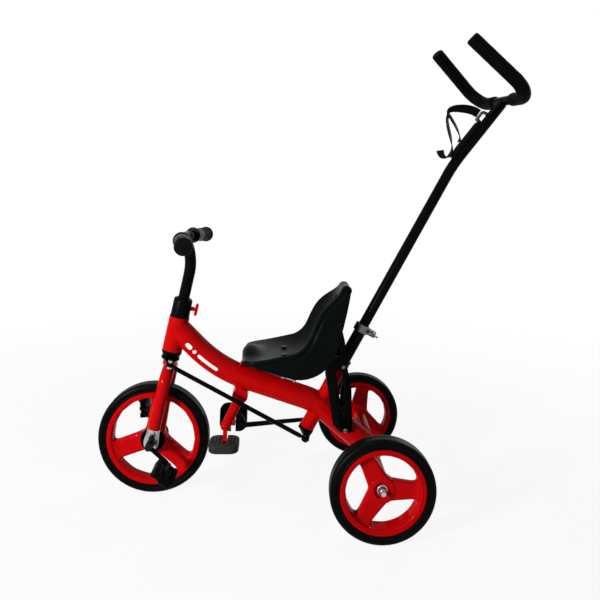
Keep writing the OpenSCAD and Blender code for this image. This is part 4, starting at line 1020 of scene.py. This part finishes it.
@dataclass
class Drive:
    """Hub caps, bent cranks and ribbed pedals of the front wheel."""

    crank_reach: float = 58.0
    crank_turn: float = 222.0
    crank_line: float = 60.0
    boss_in: float = 43.6
    boss_out: float = 64.4
    pedal_at: float = 68.5
    pedal_length: float = 70.0
    pedal_width: float = 50.0
    left_turn: float = 41.0
    right_turn: float = 84.0
    bar: float = 5.0
    bar_end: float = 4.4
    bar_bend: float = 9.0
    bar_in: float = 12.0
    spindle_past: float = 2.0
    ribs: int = 7
    rib_margin: float = 8.5
    tread_inset: float = 5.5
    end_inset: float = 4.5

    def caps(self) -> None:
        """Turns the black caps on both faces of the hub."""
        profile = [(7.0, 20.1), (28.5, 20.1), (28.5, 21.8), (27.6, 23.0), (25.6, 23.6), (22.4, 23.6),
                   (21.2, 22.6), (15.4, 22.6), (14.2, 23.6), (7.0, 23.6), (7.0, 20.1)]
        bm = bmesh.new()
        for side in SIDES:
            lathe(bm, profile, Matrix.Translation(FRONT_AXLE) @ turn("X", 90 * side), 72)
        Piece("hub_cap_discs", "front_wheel", BLACK_PLASTIC, ("front_hub_caps",)).make(bm)

    def crank(self, name: str, matrix: Matrix) -> None:
        """Bends one crank from round bar.

        Args:
            name: Name of the CAD node it stands for.
            matrix: Frame with the crank along X and the axle along Y.
        """
        end = self.pedal_at + self.pedal_length + self.spindle_past
        reach, line = self.crank_reach, self.crank_line
        corners = [Vector((0, line - self.bar_in, 0)), Vector((0, line, 0)), Vector((reach, line, 0)),
                   Vector((reach, end, 0))]
        path = bent_line(corners, self.bar_bend, 2.0)
        last = len(path) - 1
        bm = bmesh.new()
        loft(bm, along_line(path, lambda i: round_section(self.bar_end if i == last else self.bar)))
        bmesh.ops.transform(bm, matrix=matrix, verts=bm.verts[:])
        low, high = self.boss_in, self.boss_out
        boss = [(6.3, low), (8.6, low), (9.0, low + 1), (8.2, high - 1.4), (7.4, high), (6.3, high),
                (6.3, low)]
        lathe(bm, boss, matrix @ turn("X", -90), 40)
        Piece(f"{name}_bar", "front_wheel", BLACK_PAINT, (name,)).make(bm)

    def pedal(self, name: str, matrix: Matrix) -> None:
        """Moulds one pedal with ribbed treads.

        Args:
            name: Name of the pedal's body and CAD node.
            matrix: Frame with the spindle along Y.
        """
        length, half = self.pedal_length, self.pedal_width / 2
        bm = bmesh.new()
        barrel = [(4.9, 0.0), (8.0, 0.0), (9.0, 1.2), (9.0, length - 1.2), (8.0, length), (4.9, length),
                  (4.9, 0.0)]
        lathe(bm, barrel, matrix @ turn("X", -90), 32)
        tread, web, rib = (10.0, length - 8, 17.0), (half - 8.0, length - 6, 8.0), (11.0, 4.6, 22.0)
        end_bar = (2 * half - 4, 8.0, 14.5)
        rib_step = (length - 2 * self.rib_margin) / (self.ribs - 1)
        for side in SIDES:
            across = side * (half - self.tread_inset)
            block(bm, tread, (across, length / 2, 0), matrix, 2.4)
            block(bm, web, (side * (half / 2 - 1), length / 2, 0), matrix, 1.5)
            for k in range(self.ribs):
                block(bm, rib, (across, self.rib_margin + k * rib_step, 0), matrix, 1.5)
        for y in (self.end_inset, length - self.end_inset):
            block(bm, end_bar, (0, y, 0), matrix, 3.0)
        Piece(f"{name}_body", name, BLACK_PLASTIC, (name,)).make(bm)

    def build(self) -> None:
        """Makes the caps, cranks and pedals."""
        self.caps()
        axle = Matrix.Translation(FRONT_AXLE)
        self.crank("left_crank", axle @ turn("Y", -self.crank_turn))
        self.crank("right_crank", axle @ turn("Y", 180) @ FLIP @ turn("Y", -self.crank_turn))
        left, right = pivot("left_pedal_spin"), pivot("right_pedal_spin")
        self.pedal("left_pedal", shift(left.x, self.pedal_at, left.z) @ turn("Y", -self.left_turn))
        self.pedal("right_pedal", shift(right.x, -self.pedal_at - self.pedal_length, right.z)
                   @ turn("Y", -self.right_turn))


@dataclass
class ForkEnds:
    """Crimped steel ends of the fork legs."""

    leg_y: float = 40.0
    rings: Sequence[Triple] = (
        (34.0, 14.3, 14.3), (27.0, 14.3, 14.3), (23.0, 14.6, 12.4), (18.0, 15.2, 8.4), (13.0, 16.0, 4.8),
        (8.0, 16.7, 3.2), (0.0, 17.0, 3.0), (-6.0, 15.9, 3.0), (-11.0, 13.0, 3.0), (-14.5, 8.9, 2.9),
        (-16.6, 3.6, 2.2))
    round_above: float = 12.0
    squareness: float = 0.62

    def build(self) -> None:
        """Flattens both ends round the axle."""
        bm = bmesh.new()
        for side in SIDES:
            loops = []
            for up, half, thick in self.rings:
                square = 1.0 if thick > self.round_above else self.squareness
                loops.append([STEERING @ Vector((a - AXLE_SETBACK, side * self.leg_y + b, up))
                              for a, b in flat_section(2 * half, 2 * thick, 32, square)])
            loft(bm, loops)
        Piece("crimped_dropouts", "fork", STEEL, ("dropouts",), smooth=60.0).make(bm)


def butterfly(bm: BMesh, matrix: Matrix, half: float, waist: float, lobe: float, thick: float,
              height: float) -> None:
    """Two rounded lobes of a wing nut.

    Args:
        bm: The mesh that takes the wings.
        matrix: Frame with the screw along Z and the wings along X.
        half: Half of their span.
        waist: Half height in the middle.
        lobe: What the half height gains towards the ends.
        thick: Thickness.
        height: Height of their middle line.
    """
    outline = [(half * c, height + s * (waist + lobe * abs(c) ** 1.4)) for c, s in round_section(1.0, 48)]
    prism(bm, outline, -thick / 2, thick / 2, matrix @ turn("X", 90), thick * 0.32)


@dataclass
class Head:
    """Clamping collar over the head tube and its wing screw."""

    collar_low: float = 288.6
    collar_height: float = 42.0
    collar_radius: float = 21.5
    bore: float = 15.3
    screw_up: float = 21.0

    def build(self) -> None:
        """Makes the collar and the screw."""
        low, top, radius = self.collar_low, self.collar_low + self.collar_height, self.collar_radius
        bore = self.bore
        profile = [(bore, low), (radius - 0.8, low), (radius, low + 0.8), (radius, top - 6.2),
                   (radius - 0.5, top - 4.0), (radius - 1.8, top - 1.9), (radius - 3.8, top - 0.5),
                   (radius - 5.6, top), (13.3, top), (13.2, top - 5.0), (bore, top - 5.0), (bore, low)]
        bm = bmesh.new()
        lathe(bm, profile, STEERING, 72)
        Piece("collar_body", "fork", BLACK_PLASTIC, ("stem_collar",)).make(bm)
        axis = STEERING @ shift(0, 0, low + self.screw_up) @ turn("Y", -90)
        bm = bmesh.new()
        boss = [(0.0, 13.3), (2.9, 13.3), (2.9, 22.0), (5.0, 22.0), (5.0, 26.5), (4.2, 30.0), (4.0, 34.0),
                (0.0, 34.0)]
        lathe(bm, boss, axis, 32)
        butterfly(bm, axis, half=15.0, waist=3.2, lobe=2.6, thick=5.4, height=34.0)
        Piece("wing_screw_body", "wing_screw", RED_PLASTIC, ("wing_screw",)).make(bm)


@dataclass
class Grips:
    """Moulded grips in two shades on the ends of the handlebar."""

    bar_at: Triple = (29.244, 0.0, 467.948)
    half: float = 175.0
    sweep: float = 27.0
    middle: float = 45.0
    ribs: int = 7
    first_rib: float = 5.0
    rib_step: float = 6.0
    band: tuple[float, float] = (48.0, 89.0)

    def build(self) -> None:
        """Turns both grips."""
        angle = math.degrees(math.atan2(self.sweep, self.half - self.middle))
        profile = [(0.0, -4.0), (17.4, -4.0), (18.6, -3.4), (19.0, -2.2), (19.0, 1.0), (18.4, 2.2),
                   (16.4, 2.8)]
        for low in (self.first_rib + self.rib_step * k for k in range(self.ribs)):
            profile += [(15.6, low), (16.7, low + 1.2), (16.7, low + 3.4), (15.6, low + 4.6)]
        profile += [(15.4, 48.0), (15.5, 52.0), (15.5, 86.0), (16.2, 90.0), (18.2, 92.4), (19.0, 93.6),
                    (19.0, 96.4), (18.2, 97.8), (11.3, 98.0), (11.3, 90.0)]
        out = shift(*self.bar_at) @ shift(-self.sweep, self.half, 0) @ turn("Z", angle) @ turn("X", 90)
        for side, name in ((1, "left"), (-1, "right")):
            place = (STEERING if side > 0 else STEERING @ FLIP) @ out
            bm = bmesh.new()
            lathe(bm, profile, place, 56)
            back = place.inverted()
            for face in bm.faces:
                along = (back @ face.calc_center_median()).z
                face.material_index = 1 if self.band[0] < along < self.band[1] else 0
            Piece(f"{name}_grip_sleeve", "handlebar", GRIP, (f"{name}_grip",), more=(GRIP_BAND,)).make(bm)


@dataclass
class SeatShell:
    """Dished seat with rolled rims, drawn along a middle line from its nose to its rolled top."""

    at: tuple[float, float] = SEAT_AT
    nose: float = 12.0
    front: float = 86.0
    rear: float = 17.0
    bend: float = 70.0
    lean: float = 22.0
    back: float = 119.0
    top: float = 11.0
    top_roll: float = 180.0
    half: float = 98.0
    top_half: float = 72.0
    thick: float = 3.5
    dish: float = 32.0
    skirt: float = 40.0
    roll: float = 5.0
    power: float = 2.4
    top_drop: float = 21.6
    pommel: float = 17.0
    slot_length: float = 26.0
    slot_height: float = 9.0
    slot_below: float = 26.0
    nose_round: tuple[float, float] = (44.0, 0.6)
    top_round: tuple[float, float] = (80.0, 0.72)
    nose_depth: float = 1.0
    top_depth: float = 1.5
    nose_drop: float = 6.5
    full_skirt: float = 0.6
    lip_half: float = 0.66
    lip_up: float = 22.0
    lip_flat: float = 24.0
    lip_down: float = 44.0
    groove: float = 2.6
    groove_half: float = 2.6
    groove_down: float = 6.5
    groove_full: float = 20.0
    columns: int = 240
    rows: int = 110
    sharp: float = 55.0
    edge: float = 0.9
    ends: list[float] = field(init=False)

    def __post_init__(self) -> None:
        """Adds up the lengths of the middle line's parts."""
        parts = (self.nose * math.pi / 2, self.front + self.rear, self.bend * math.radians(90 - self.lean),
                 self.back, self.top * math.radians(self.top_roll))
        self.ends = [sum(parts[:k + 1]) for k in range(len(parts))]

    def bend_point(self, turned: float) -> Vector:
        """A point of the bend between seat and back, at an angle in radians."""
        return Vector((-self.rear - self.bend * math.sin(turned), 0.0, self.bend * (1 - math.cos(turned))))

    def back_point(self, length: float) -> Vector:
        """A point up the back."""
        return self.bend_point(math.radians(90 - self.lean)) + heading(self.lean + 90) * length

    def line(self, s: float) -> tuple[Vector, float]:
        """Middle line of the seat.

        Args:
            s: Distance from the nose.

        Returns:
            The point and the direction of the seat's upper face, in degrees.
        """
        ends = self.ends
        if s < ends[0]:
            angle = 90 * s / ends[0]
            return Vector((self.front, 0.0, -self.nose)) + heading(angle) * self.nose, angle
        if s < ends[1]:
            return Vector((self.front - (s - ends[0]), 0.0, 0.0)), 90.0
        if s < ends[2]:
            angle = math.degrees((s - ends[1]) / self.bend)
            return self.bend_point(math.radians(angle)), 90 - angle
        if s < ends[3]:
            return self.back_point(s - ends[2]), self.lean
        angle = self.lean + math.degrees((s - ends[3]) / self.top)
        centre = self.back_point(self.back) - heading(self.lean) * self.top
        return centre + heading(angle) * self.top, angle

    @staticmethod
    def ease(low: float, high: float, share: float) -> float:
        """A soft step from one value to another."""
        u = min(max(share, 0.0), 1.0)
        return low + (high - low) * u * u * (3 - 2 * u)

    @staticmethod
    def end_round(s: float, length: float, amount: float) -> float:
        """How far the width has opened out from an end."""
        u = min(max(1 - s / length, 0.0), 1.0)
        return math.sqrt(1 - amount * u * u)

    def width(self, s: float) -> float:
        """Half width of the seat.

        Args:
            s: Distance along the middle line.

        Returns:
            The half width, which rounds in at both ends.
        """
        share = (s - self.ends[1]) / (self.ends[3] - self.ends[1])
        return (self.ease(self.half, self.top_half, share) * self.end_round(s, *self.nose_round)
                * self.end_round(self.ends[3] - s, *self.top_round))

    def depth(self, s: float) -> float:
        """Rise of the rims.

        Args:
            s: Distance along the middle line.

        Returns:
            The rise, which runs out at both ends.
        """
        if s < self.ends[2]:
            return self.ease(self.nose_depth, self.dish, s / self.ends[2])
        share = (s - self.ends[2]) / (self.ends[3] - self.ends[2])
        return self.ease(self.dish, self.top_depth, share ** 2)

    def drop(self, s: float) -> float:
        """Drop of the skirt.

        Args:
            s: Distance along the middle line.

        Returns:
            The drop below the middle line.
        """
        turned = self.ends[1] + self.bend * self.full_skirt
        if s < turned:
            return self.ease(self.nose_drop, self.skirt, s / turned)
        if s > self.ends[3]:
            return self.top
        return self.skirt + (self.top_drop - self.skirt) * (s - turned) / (self.ends[3] - turned)

    def lip_rise(self, s: float, u: float) -> float:
        """Rise of the rounded lip in the middle of the front edge.

        Args:
            s: Distance along the middle line.
            u: Place across, from the middle to the rim at one.

        Returns:
            The rise above the seat's face.
        """
        across = max(1 - (u / self.lip_half) ** 2, 0.0) ** 2
        return (self.pommel * across * self.ease(0.0, 1.0, s / self.lip_up)
                * self.ease(1.0, 0.0, (s - self.lip_flat) / self.lip_down))

    def point(self, s: float, v: float) -> Vector:
        """One point of the seat's upper face.

        Args:
            s: Distance along the middle line.
            v: Place across: the rims are at one, their roll ends at one and a half and the skirt at two.

        Returns:
            The point in the row frame.
        """
        middle, facing = self.line(s)
        u, side = abs(v), math.copysign(1.0, v)
        w, d = self.width(s), self.depth(s)
        if u <= 1.0:
            across, rise = (w - self.roll) * u, d * u ** self.power + self.lip_rise(s, u)
        else:
            round_by = math.radians(min((u - 1) / 0.5, 1.0) * 90)
            down = max(u - 1.5, 0.0) * 2 * (d - self.roll + self.drop(s))
            across = w - self.roll + self.roll * math.sin(round_by)
            rise = d - self.roll + self.roll * math.cos(round_by) - down
            groove = self.groove * math.exp(-((down - self.groove_down) / self.groove_half) ** 2)
            across -= groove * min(self.drop(s) / self.groove_full, 1.0)
        place = middle + heading(facing) * rise
        return Vector((self.at[0] + place.x, side * across, self.at[1] + place.z))

    def sheet(self) -> BMesh:
        """Shapes a grid into the seat's upper face.

        Returns:
            The mesh, one face thick.
        """
        bm = bmesh.new()
        bmesh.ops.create_grid(bm, x_segments=self.columns, y_segments=self.rows, size=1.0)
        for vert in bm.verts:
            s = (vert.co.y + 1) / 2 * self.ends[4]
            if abs(s - self.ends[3]) < self.ends[4] / (2 * self.rows - 1):
                s = self.ends[3]
            vert.co = self.point(s, vert.co.x * 2.0)
        return bm

    def slot_cutter(self) -> bpy.types.Object:
        """Makes the shape that cuts the slot in the back.

        Returns:
            A helper object that is removed after the cut.
        """
        middle = self.back_point(self.back - self.slot_below)
        place = shift(self.at[0] + middle.x, 0, self.at[1] + middle.z) @ turn("Y", 90 - self.lean)
        bm = bmesh.new()
        half = self.slot_height / 2
        outline = rounded_rectangle(half, self.slot_length / 2 + half, half - 0.01)
        prism(bm, outline, -20.0, 20.0, place, 0.0)
        return to_object(bm, "slot_cutter")

    def build(self) -> None:
        """Makes the shell, thickens it and cuts its slot."""
        seat = Piece("seat_shell", "frame", SEAT_PLASTIC, ("seat",), smooth=self.sharp).make(self.sheet())
        up = sum((p.normal.z * p.area for p in seat.data.polygons), 0.0)
        if up < 0.0:
            seat.data.flip_normals()
        wall = seat.modifiers.new("wall", "SOLIDIFY")
        wall.thickness = self.thick * MM
        wall.offset = -1.0
        cutter = self.slot_cutter()
        cut = seat.modifiers.new("slot", "BOOLEAN")
        cut.operation, cut.solver, cut.object = "DIFFERENCE", "EXACT", cutter
        shown = seat.evaluated_get(bpy.context.evaluated_depsgraph_get())
        mesh = bpy.data.meshes.new_from_object(shown)
        mesh.name = "seat_shell"
        seat.modifiers.clear()
        seat.data = mesh
        bpy.data.objects.remove(cutter)
        soft = seat.modifiers.new("soft_edges", "BEVEL")
        soft.width, soft.segments, soft.limit_method = self.edge * MM, 2, "ANGLE"
        soft.angle_limit = math.radians(self.sharp)


def softened(node: str, body: str, finish: Finish, width: float) -> None:
    """Stands a copy with eased edges in the place of a flat-sided CAD node.

    Args:
        node: Name of the CAD node.
        body: Body that it belongs to.
        finish: Its finish.
        width: Width of the eased edges.
    """
    bm = bmesh.new()
    bm.from_mesh(frame["nodes"][node].data)
    bmesh.ops.scale(bm, vec=(1 / MM, 1 / MM, 1 / MM), verts=bm.verts[:])
    bmesh.ops.remove_doubles(bm, verts=bm.verts[:], dist=CAD_MERGE)
    bmesh.ops.dissolve_limit(bm, angle_limit=math.radians(FLAT_WITHIN), verts=bm.verts[:], edges=bm.edges[:])
    sharp = math.radians(EDGE_OVER)
    edges = [e for e in bm.edges if len(e.link_faces) == 2 and e.calc_face_angle(0.0) > sharp]
    round_edges(bm, edges, width, 2)
    Piece(f"{node}_eased", body, finish, (node,)).make(bm)


@dataclass
class SeatSupport:
    """Folded strip under the seat, pressed plates behind it and their bolts."""

    plate_out: float = 31.0
    seat_at: tuple[float, float] = SEAT_AT
    strip_thick: float = 3.0
    strip_bend: float = 7.0
    bracket: Sequence[Triple] = (
        (104.0, -58.0, 11.0), (104.0, -24.0, 15.0), (80.0, -24.0, 24.0), (70.0, -5.1, 38.0),
        (-34.0, -5.1, 42.0))
    bolts: Sequence[tuple[float, float]] = ((-61.70, 407.37), (-93.78, 154.57), (-86.06, 301.51))

    def strip(self) -> None:
        """Folds the red strip that carries the seat, narrow where it stands on the tube."""
        corners = [Vector((self.seat_at[0] + x, 0.0, self.seat_at[1] + z)) for x, z, _ in self.bracket]
        path = bent_line(corners, self.strip_bend, 3.0)
        widths = []
        for point in path:
            near = sorted(range(len(corners)), key=lambda k: (corners[k] - point).length)[:2]
            reach = [(corners[k] - point).length + 0.01 for k in near]
            one, two = (self.bracket[k][2] for k in near)
            widths.append((one * reach[1] + two * reach[0]) / sum(reach))
        across = [Vector((0, 1, 0))] * len(path)
        bm = bmesh.new()
        loft(bm, along_line(path, lambda i: flat_section(2 * widths[i], self.strip_thick, 24, 0.3), across))
        Piece("seat_strip", "frame", RED_PAINT, ("seat_bracket",)).make(bm)

    def build(self) -> None:
        """Makes the strip, the plates and the bolt heads."""
        self.strip()
        softened("seat_plates", "frame", BLACK_PAINT, 0.8)
        head = [(0.0, -2.0), (3.0, -2.0), (3.0, 0.0), (5.0, 0.0), (5.0, 1.2), (4.5, 2.2), (3.5, 2.8),
                (2.4, 3.0), (2.1, 1.8), (0.0, 1.8)]
        bm = bmesh.new()
        for x, z in self.bolts:
            for side in SIDES:
                lathe(bm, head, shift(x, side * self.plate_out, z) @ turn("X", -90 * side), 32)
        Piece("plate_bolt_heads", "frame", DULL_STEEL, ("plate_bolts",)).make(bm)


@dataclass
class Footrest:
    """Foot pads with raised ribs either side of the slot for the peg."""

    half: float = 33.0
    inner: float = 20.0
    corner: float = 19.0
    slot: float = 5.6
    slot_end: float = 31.0
    tip: float = 75.0
    low: float = -10.0
    high: float = 7.6
    edge: float = 2.6
    rib_lengths: Triple = (44.0, 44.0, 34.0)
    rib_from: float = 12.0
    rib_step: float = 7.0
    rib_at: float = 7.2

    def outline(self) -> list[tuple[float, float]]:
        """The pad's outline with its slot cut in from the inner side.

        Returns:
            Points of the outline in order.
        """
        middle = self.half - self.inner
        rim = [(x, y + middle) for x, y in rounded_rectangle(self.half, self.half, self.corner, 10)]
        start = min(range(len(rim)), key=lambda k: (rim[k][1], abs(rim[k][0] + self.half - self.corner)))
        order = rim[start:] + rim[:start]
        mouth, turned = -self.inner, self.slot_end - self.slot
        rise = [(-self.slot, mouth)]
        rise += [(-self.slot * math.cos(a), turned + self.slot * math.sin(a))
                 for a in (math.pi * k / 10 for k in range(11))]
        rise.append((self.slot, mouth))
        return [order[0]] + rise + order[1:]

    def pad(self, name: str, finish: Finish, matrix: Matrix) -> None:
        """Moulds one pad.

        Args:
            name: Name of its body and CAD node.
            finish: Its finish.
            matrix: Frame of its pin.
        """
        bm = bmesh.new()
        prism(bm, self.outline(), self.low, self.high, matrix, self.edge, 4)
        for side in SIDES:
            for k, length in enumerate(self.rib_lengths):
                at = (side * (self.rib_from + self.rib_step * k), self.half - self.inner, self.rib_at)
                block(bm, (3.6, length, 5.4), at, matrix, 1.3)
        Piece(f"{name}_moulding", name, finish, (name,)).make(bm)

    def build(self) -> None:
        """Makes both pads and eases the stay."""
        self.pad("left_foot_pad", GREY_PLASTIC, Matrix.Translation(pivot("left_foot_pad_fold")))
        self.pad("right_foot_pad", BLACK_PLASTIC,
                 Matrix.Translation(pivot("right_foot_pad_fold")) @ FLIP @ turn("X", self.tip))
        softened("footrest_stay", "frame", BLACK_PAINT, 0.8)


@dataclass
class PushPole:
    """Foam sleeves on the push handle and the wing nut of the pole's clamp."""

    foam: float = 15.0
    start: float = 42.0
    prong: float = 172.0
    prong_half: float = 131.0
    tip_half: float = 104.0
    bend: float = 45.0
    ear: float = 28.0
    ear_out: float = 9.5
    clamp_at: float = 205.0
    past_tip: float = 4.0
    ripple: float = 0.006
    ripple_step: float = 0.7

    def sleeves(self) -> None:
        """Draws both sleeves round the handle's corners."""
        bm = bmesh.new()
        for side in SIDES:
            tip = Vector((self.prong, side * self.tip_half, 0))
            corner = Vector((0, side * self.prong_half, 0))
            tip += (tip - corner).normalized() * self.past_tip
            path = bent_line([Vector((0, side * self.start, 0)), corner, tip], self.bend, 3.0)
            last = len(path) - 1
            ends = {0: 0.8, 1: 0.97, last: 0.72, last - 1: 0.95}
            waves = [1 - self.ripple * (1 - math.sin(i * self.ripple_step)) for i in range(last + 1)]
            uneven = [self.foam * ends.get(i, 1.0) * wave for i, wave in enumerate(waves)]
            path[1] = path[0].lerp(path[1], 0.5)
            path[last - 1] = path[last].lerp(path[last - 1], 0.7)
            loft(bm, along_line(path, lambda i: round_section(uneven[i], 28)))
        bmesh.ops.transform(bm, matrix=HANDLE, verts=bm.verts[:])
        Piece("foam_grip_sleeves", "push_pole", FOAM, ("foam_sleeves",)).make(bm)

    def wing(self) -> None:
        """Makes the clamp's wing nut."""
        place = POLE @ shift(-self.ear, self.ear_out, self.clamp_at) @ turn("X", -90)
        bm = bmesh.new()
        boss = [(2.9, 0.0), (6.0, 0.0), (6.0, 1.4), (5.0, 4.0), (4.6, 8.6), (4.0, 9.2), (2.9, 9.2),
                (2.9, 0.0)]
        lathe(bm, boss, place, 32)
        butterfly(bm, place, half=12.0, waist=2.6, lobe=2.4, thick=3.6, height=8.0)
        Piece("clamp_wing_nut", "clamp_wing", DULL_STEEL, ("clamp_wing",)).make(bm)

    def build(self) -> None:
        """Makes the sleeves and the wing nut, and eases the clamp and the crank plate."""
        self.sleeves()
        self.wing()
        softened("pole_clamp", "pole", DULL_STEEL, 0.7)
        softened("crank_plate", "pole", BLACK_PAINT, 0.6)


@dataclass
class Welds:
    """Painted weld beads where the frame's tubes meet."""

    bead: float = 2.1
    points: int = 72
    ripple: float = 0.1
    ripple_points: int = 4
    pole_tube: float = 17.2
    pole_above: float = 100.0
    pole_below: float = 58.0
    axle_beam: float = 18.2
    axle_beside: float = 100.0
    peg_lug: float = 13.2

    def ring(self, bm: BMesh, target: str, start: Vector, step: Vector, radius: float) -> None:
        """Lays a bead where a round tube runs into another node.

        Args:
            bm: The mesh that takes the bead.
            target: CAD node that the tube runs into.
            start: A point on the tube's axis outside that node.
            step: Direction along the axis towards the node.
            radius: Radius of the tube.
        """
        data = frame["nodes"][target].data
        tree = BVHTree.FromPolygons([v.co / MM for v in data.vertices],
                                    [tuple(p.vertices) for p in data.polygons])
        side = step.orthogonal().normalized()
        other = step.cross(side)
        path = []
        for a, b in round_section(1.0, self.points):
            hit = tree.ray_cast(start + (side * a + other * b) * radius, step)[0]
            if hit is not None:
                path.append(hit)
        if len(path) < self.points:
            LOG.warning("weld on %s found %d of %d points", target, len(path), self.points)
            return
        size = [self.bead * (1 + self.ripple * math.sin(k * math.tau / self.ripple_points))
                for k in range(self.points)]
        loft(bm, along_line(path, lambda i: round_section(size[i], 10), closed=True), closed=True)

    def build(self) -> None:
        """Lays the beads on the frame."""
        bm = bmesh.new()
        up = POLE.to_3x3() @ Vector((0, 0, 1))
        foot = pivot("pole_turn")
        self.ring(bm, "main_tube", foot + up * self.pole_above, -up, self.pole_tube)
        self.ring(bm, "main_tube", foot - up * self.pole_below, up, self.pole_tube)
        axle = centre_of("rear_axle")
        for side in SIDES:
            beside = Vector((axle.x, side * self.axle_beside, axle.z))
            self.ring(bm, "main_tube", beside, Vector((0, -side, 0)), self.axle_beam)
        below = Vector((centre_of("footrest_lug").x, 0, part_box("footrest_lug")[0].z / MM))
        self.ring(bm, "main_tube", below, Vector((0, 0, 1)), self.peg_lug)
        Piece("weld_beads", "frame", RED_PAINT, smooth=60.0).make(bm)


@dataclass
class Stripes:
    """Plain white dashes down the main tube."""

    tube: float = 26.5
    lift: float = 0.25
    joint: float = 260.6
    drop: float = 45.0
    straight: float = 63.0
    bend: float = 300.0
    below: float = 5.0
    film: float = 0.2
    dashes: Sequence[Triple] = ((40.0, 58.0, 11.0), (63.0, 71.0, 11.0), (78.0, 134.0, 8.0))

    def line(self, s: float) -> tuple[Vector, Vector]:
        """Middle line of the main tube behind the head.

        Args:
            s: Distance from the steering axis.

        Returns:
            The point and the upward normal in the side view.
        """
        start = STEERING @ Vector((0, 0, self.joint))
        down = -heading(self.drop)
        if s <= self.straight:
            return start + down * s, heading(self.drop + 90)
        angle = (s - self.straight) / self.bend
        begin = start + down * self.straight
        centre = begin + heading(self.drop + 90) * self.bend
        normal = heading(self.drop + 90 - math.degrees(angle))
        return centre - normal * self.bend, normal

    def build(self) -> None:
        """Lays the dashes on both sides of the tube."""
        bm = bmesh.new()
        for side in SIDES:
            for begin, end, tall in self.dashes:
                made = bmesh.ops.create_grid(bm, x_segments=28, y_segments=8, size=1.0)["verts"]
                for vert in made:
                    up = vert.co.y * tall / 2
                    inset = tall / 2 * (1 - math.sqrt(max(1 - vert.co.y ** 2, 0.0)))
                    half = (end - begin) / 2 - inset
                    point, normal = self.line((begin + end) / 2 + vert.co.x * half)
                    turned = (up - self.below) / self.tube
                    vert.co = point + (Vector((0, side, 0)) * math.cos(turned)
                                       + normal * math.sin(turned)) * (self.tube + self.lift)
        piece = Piece("tube_stripes", "frame", STRIPE).make(bm)
        wall = piece.modifiers.new("film", "SOLIDIFY")
        wall.thickness = self.film * MM


@dataclass
class CadFinishes:
    """Finishes of the CAD nodes that are shown as they are."""

    special: dict[str, Finish] = field(default_factory=lambda: {
        "seat_bolts": DARK_STEEL, "crank_axle": DARK_STEEL, "strap_ring": DARK_STEEL})

    def build(self) -> None:
        """Dresses every CAD node by its slot in the record."""
        for part in frame["record"]["subparts"]:
            node = part["node"]
            finish = self.special.get(node, BY_SLOT[part["material_slot"]])
            mesh = frame["nodes"][node].data
            mesh.materials.clear()
            mesh.materials.append(material_of(finish))


def main() -> None:
    """Builds the stage and every sub-assembly in order."""
    logging.basicConfig(level=logging.INFO, format="%(name)s: %(message)s")
    Stage().build()
    CadFinishes().build()
    WristStrap().build()
    Wheel("front", "front_wheel", phase=100.0, spoke=42.0, hub=Hub.CAPPED, outer=1.0).build()
    Wheel("left", "left_wheel", phase=62.0, spoke=33.0, hub=Hub.RECESSED, outer=-1.0).build()
    Wheel("right", "right_wheel", phase=100.0, spoke=33.0, hub=Hub.RECESSED, outer=1.0).build()
    RearAxle().build()
    Drive().build()
    ForkEnds().build()
    Head().build()
    Grips().build()
    SeatShell().build()
    SeatSupport().build()
    Footrest().build()
    PushPole().build()
    Welds().build()
    Stripes().build()


if __name__ == "__main__":
    main()
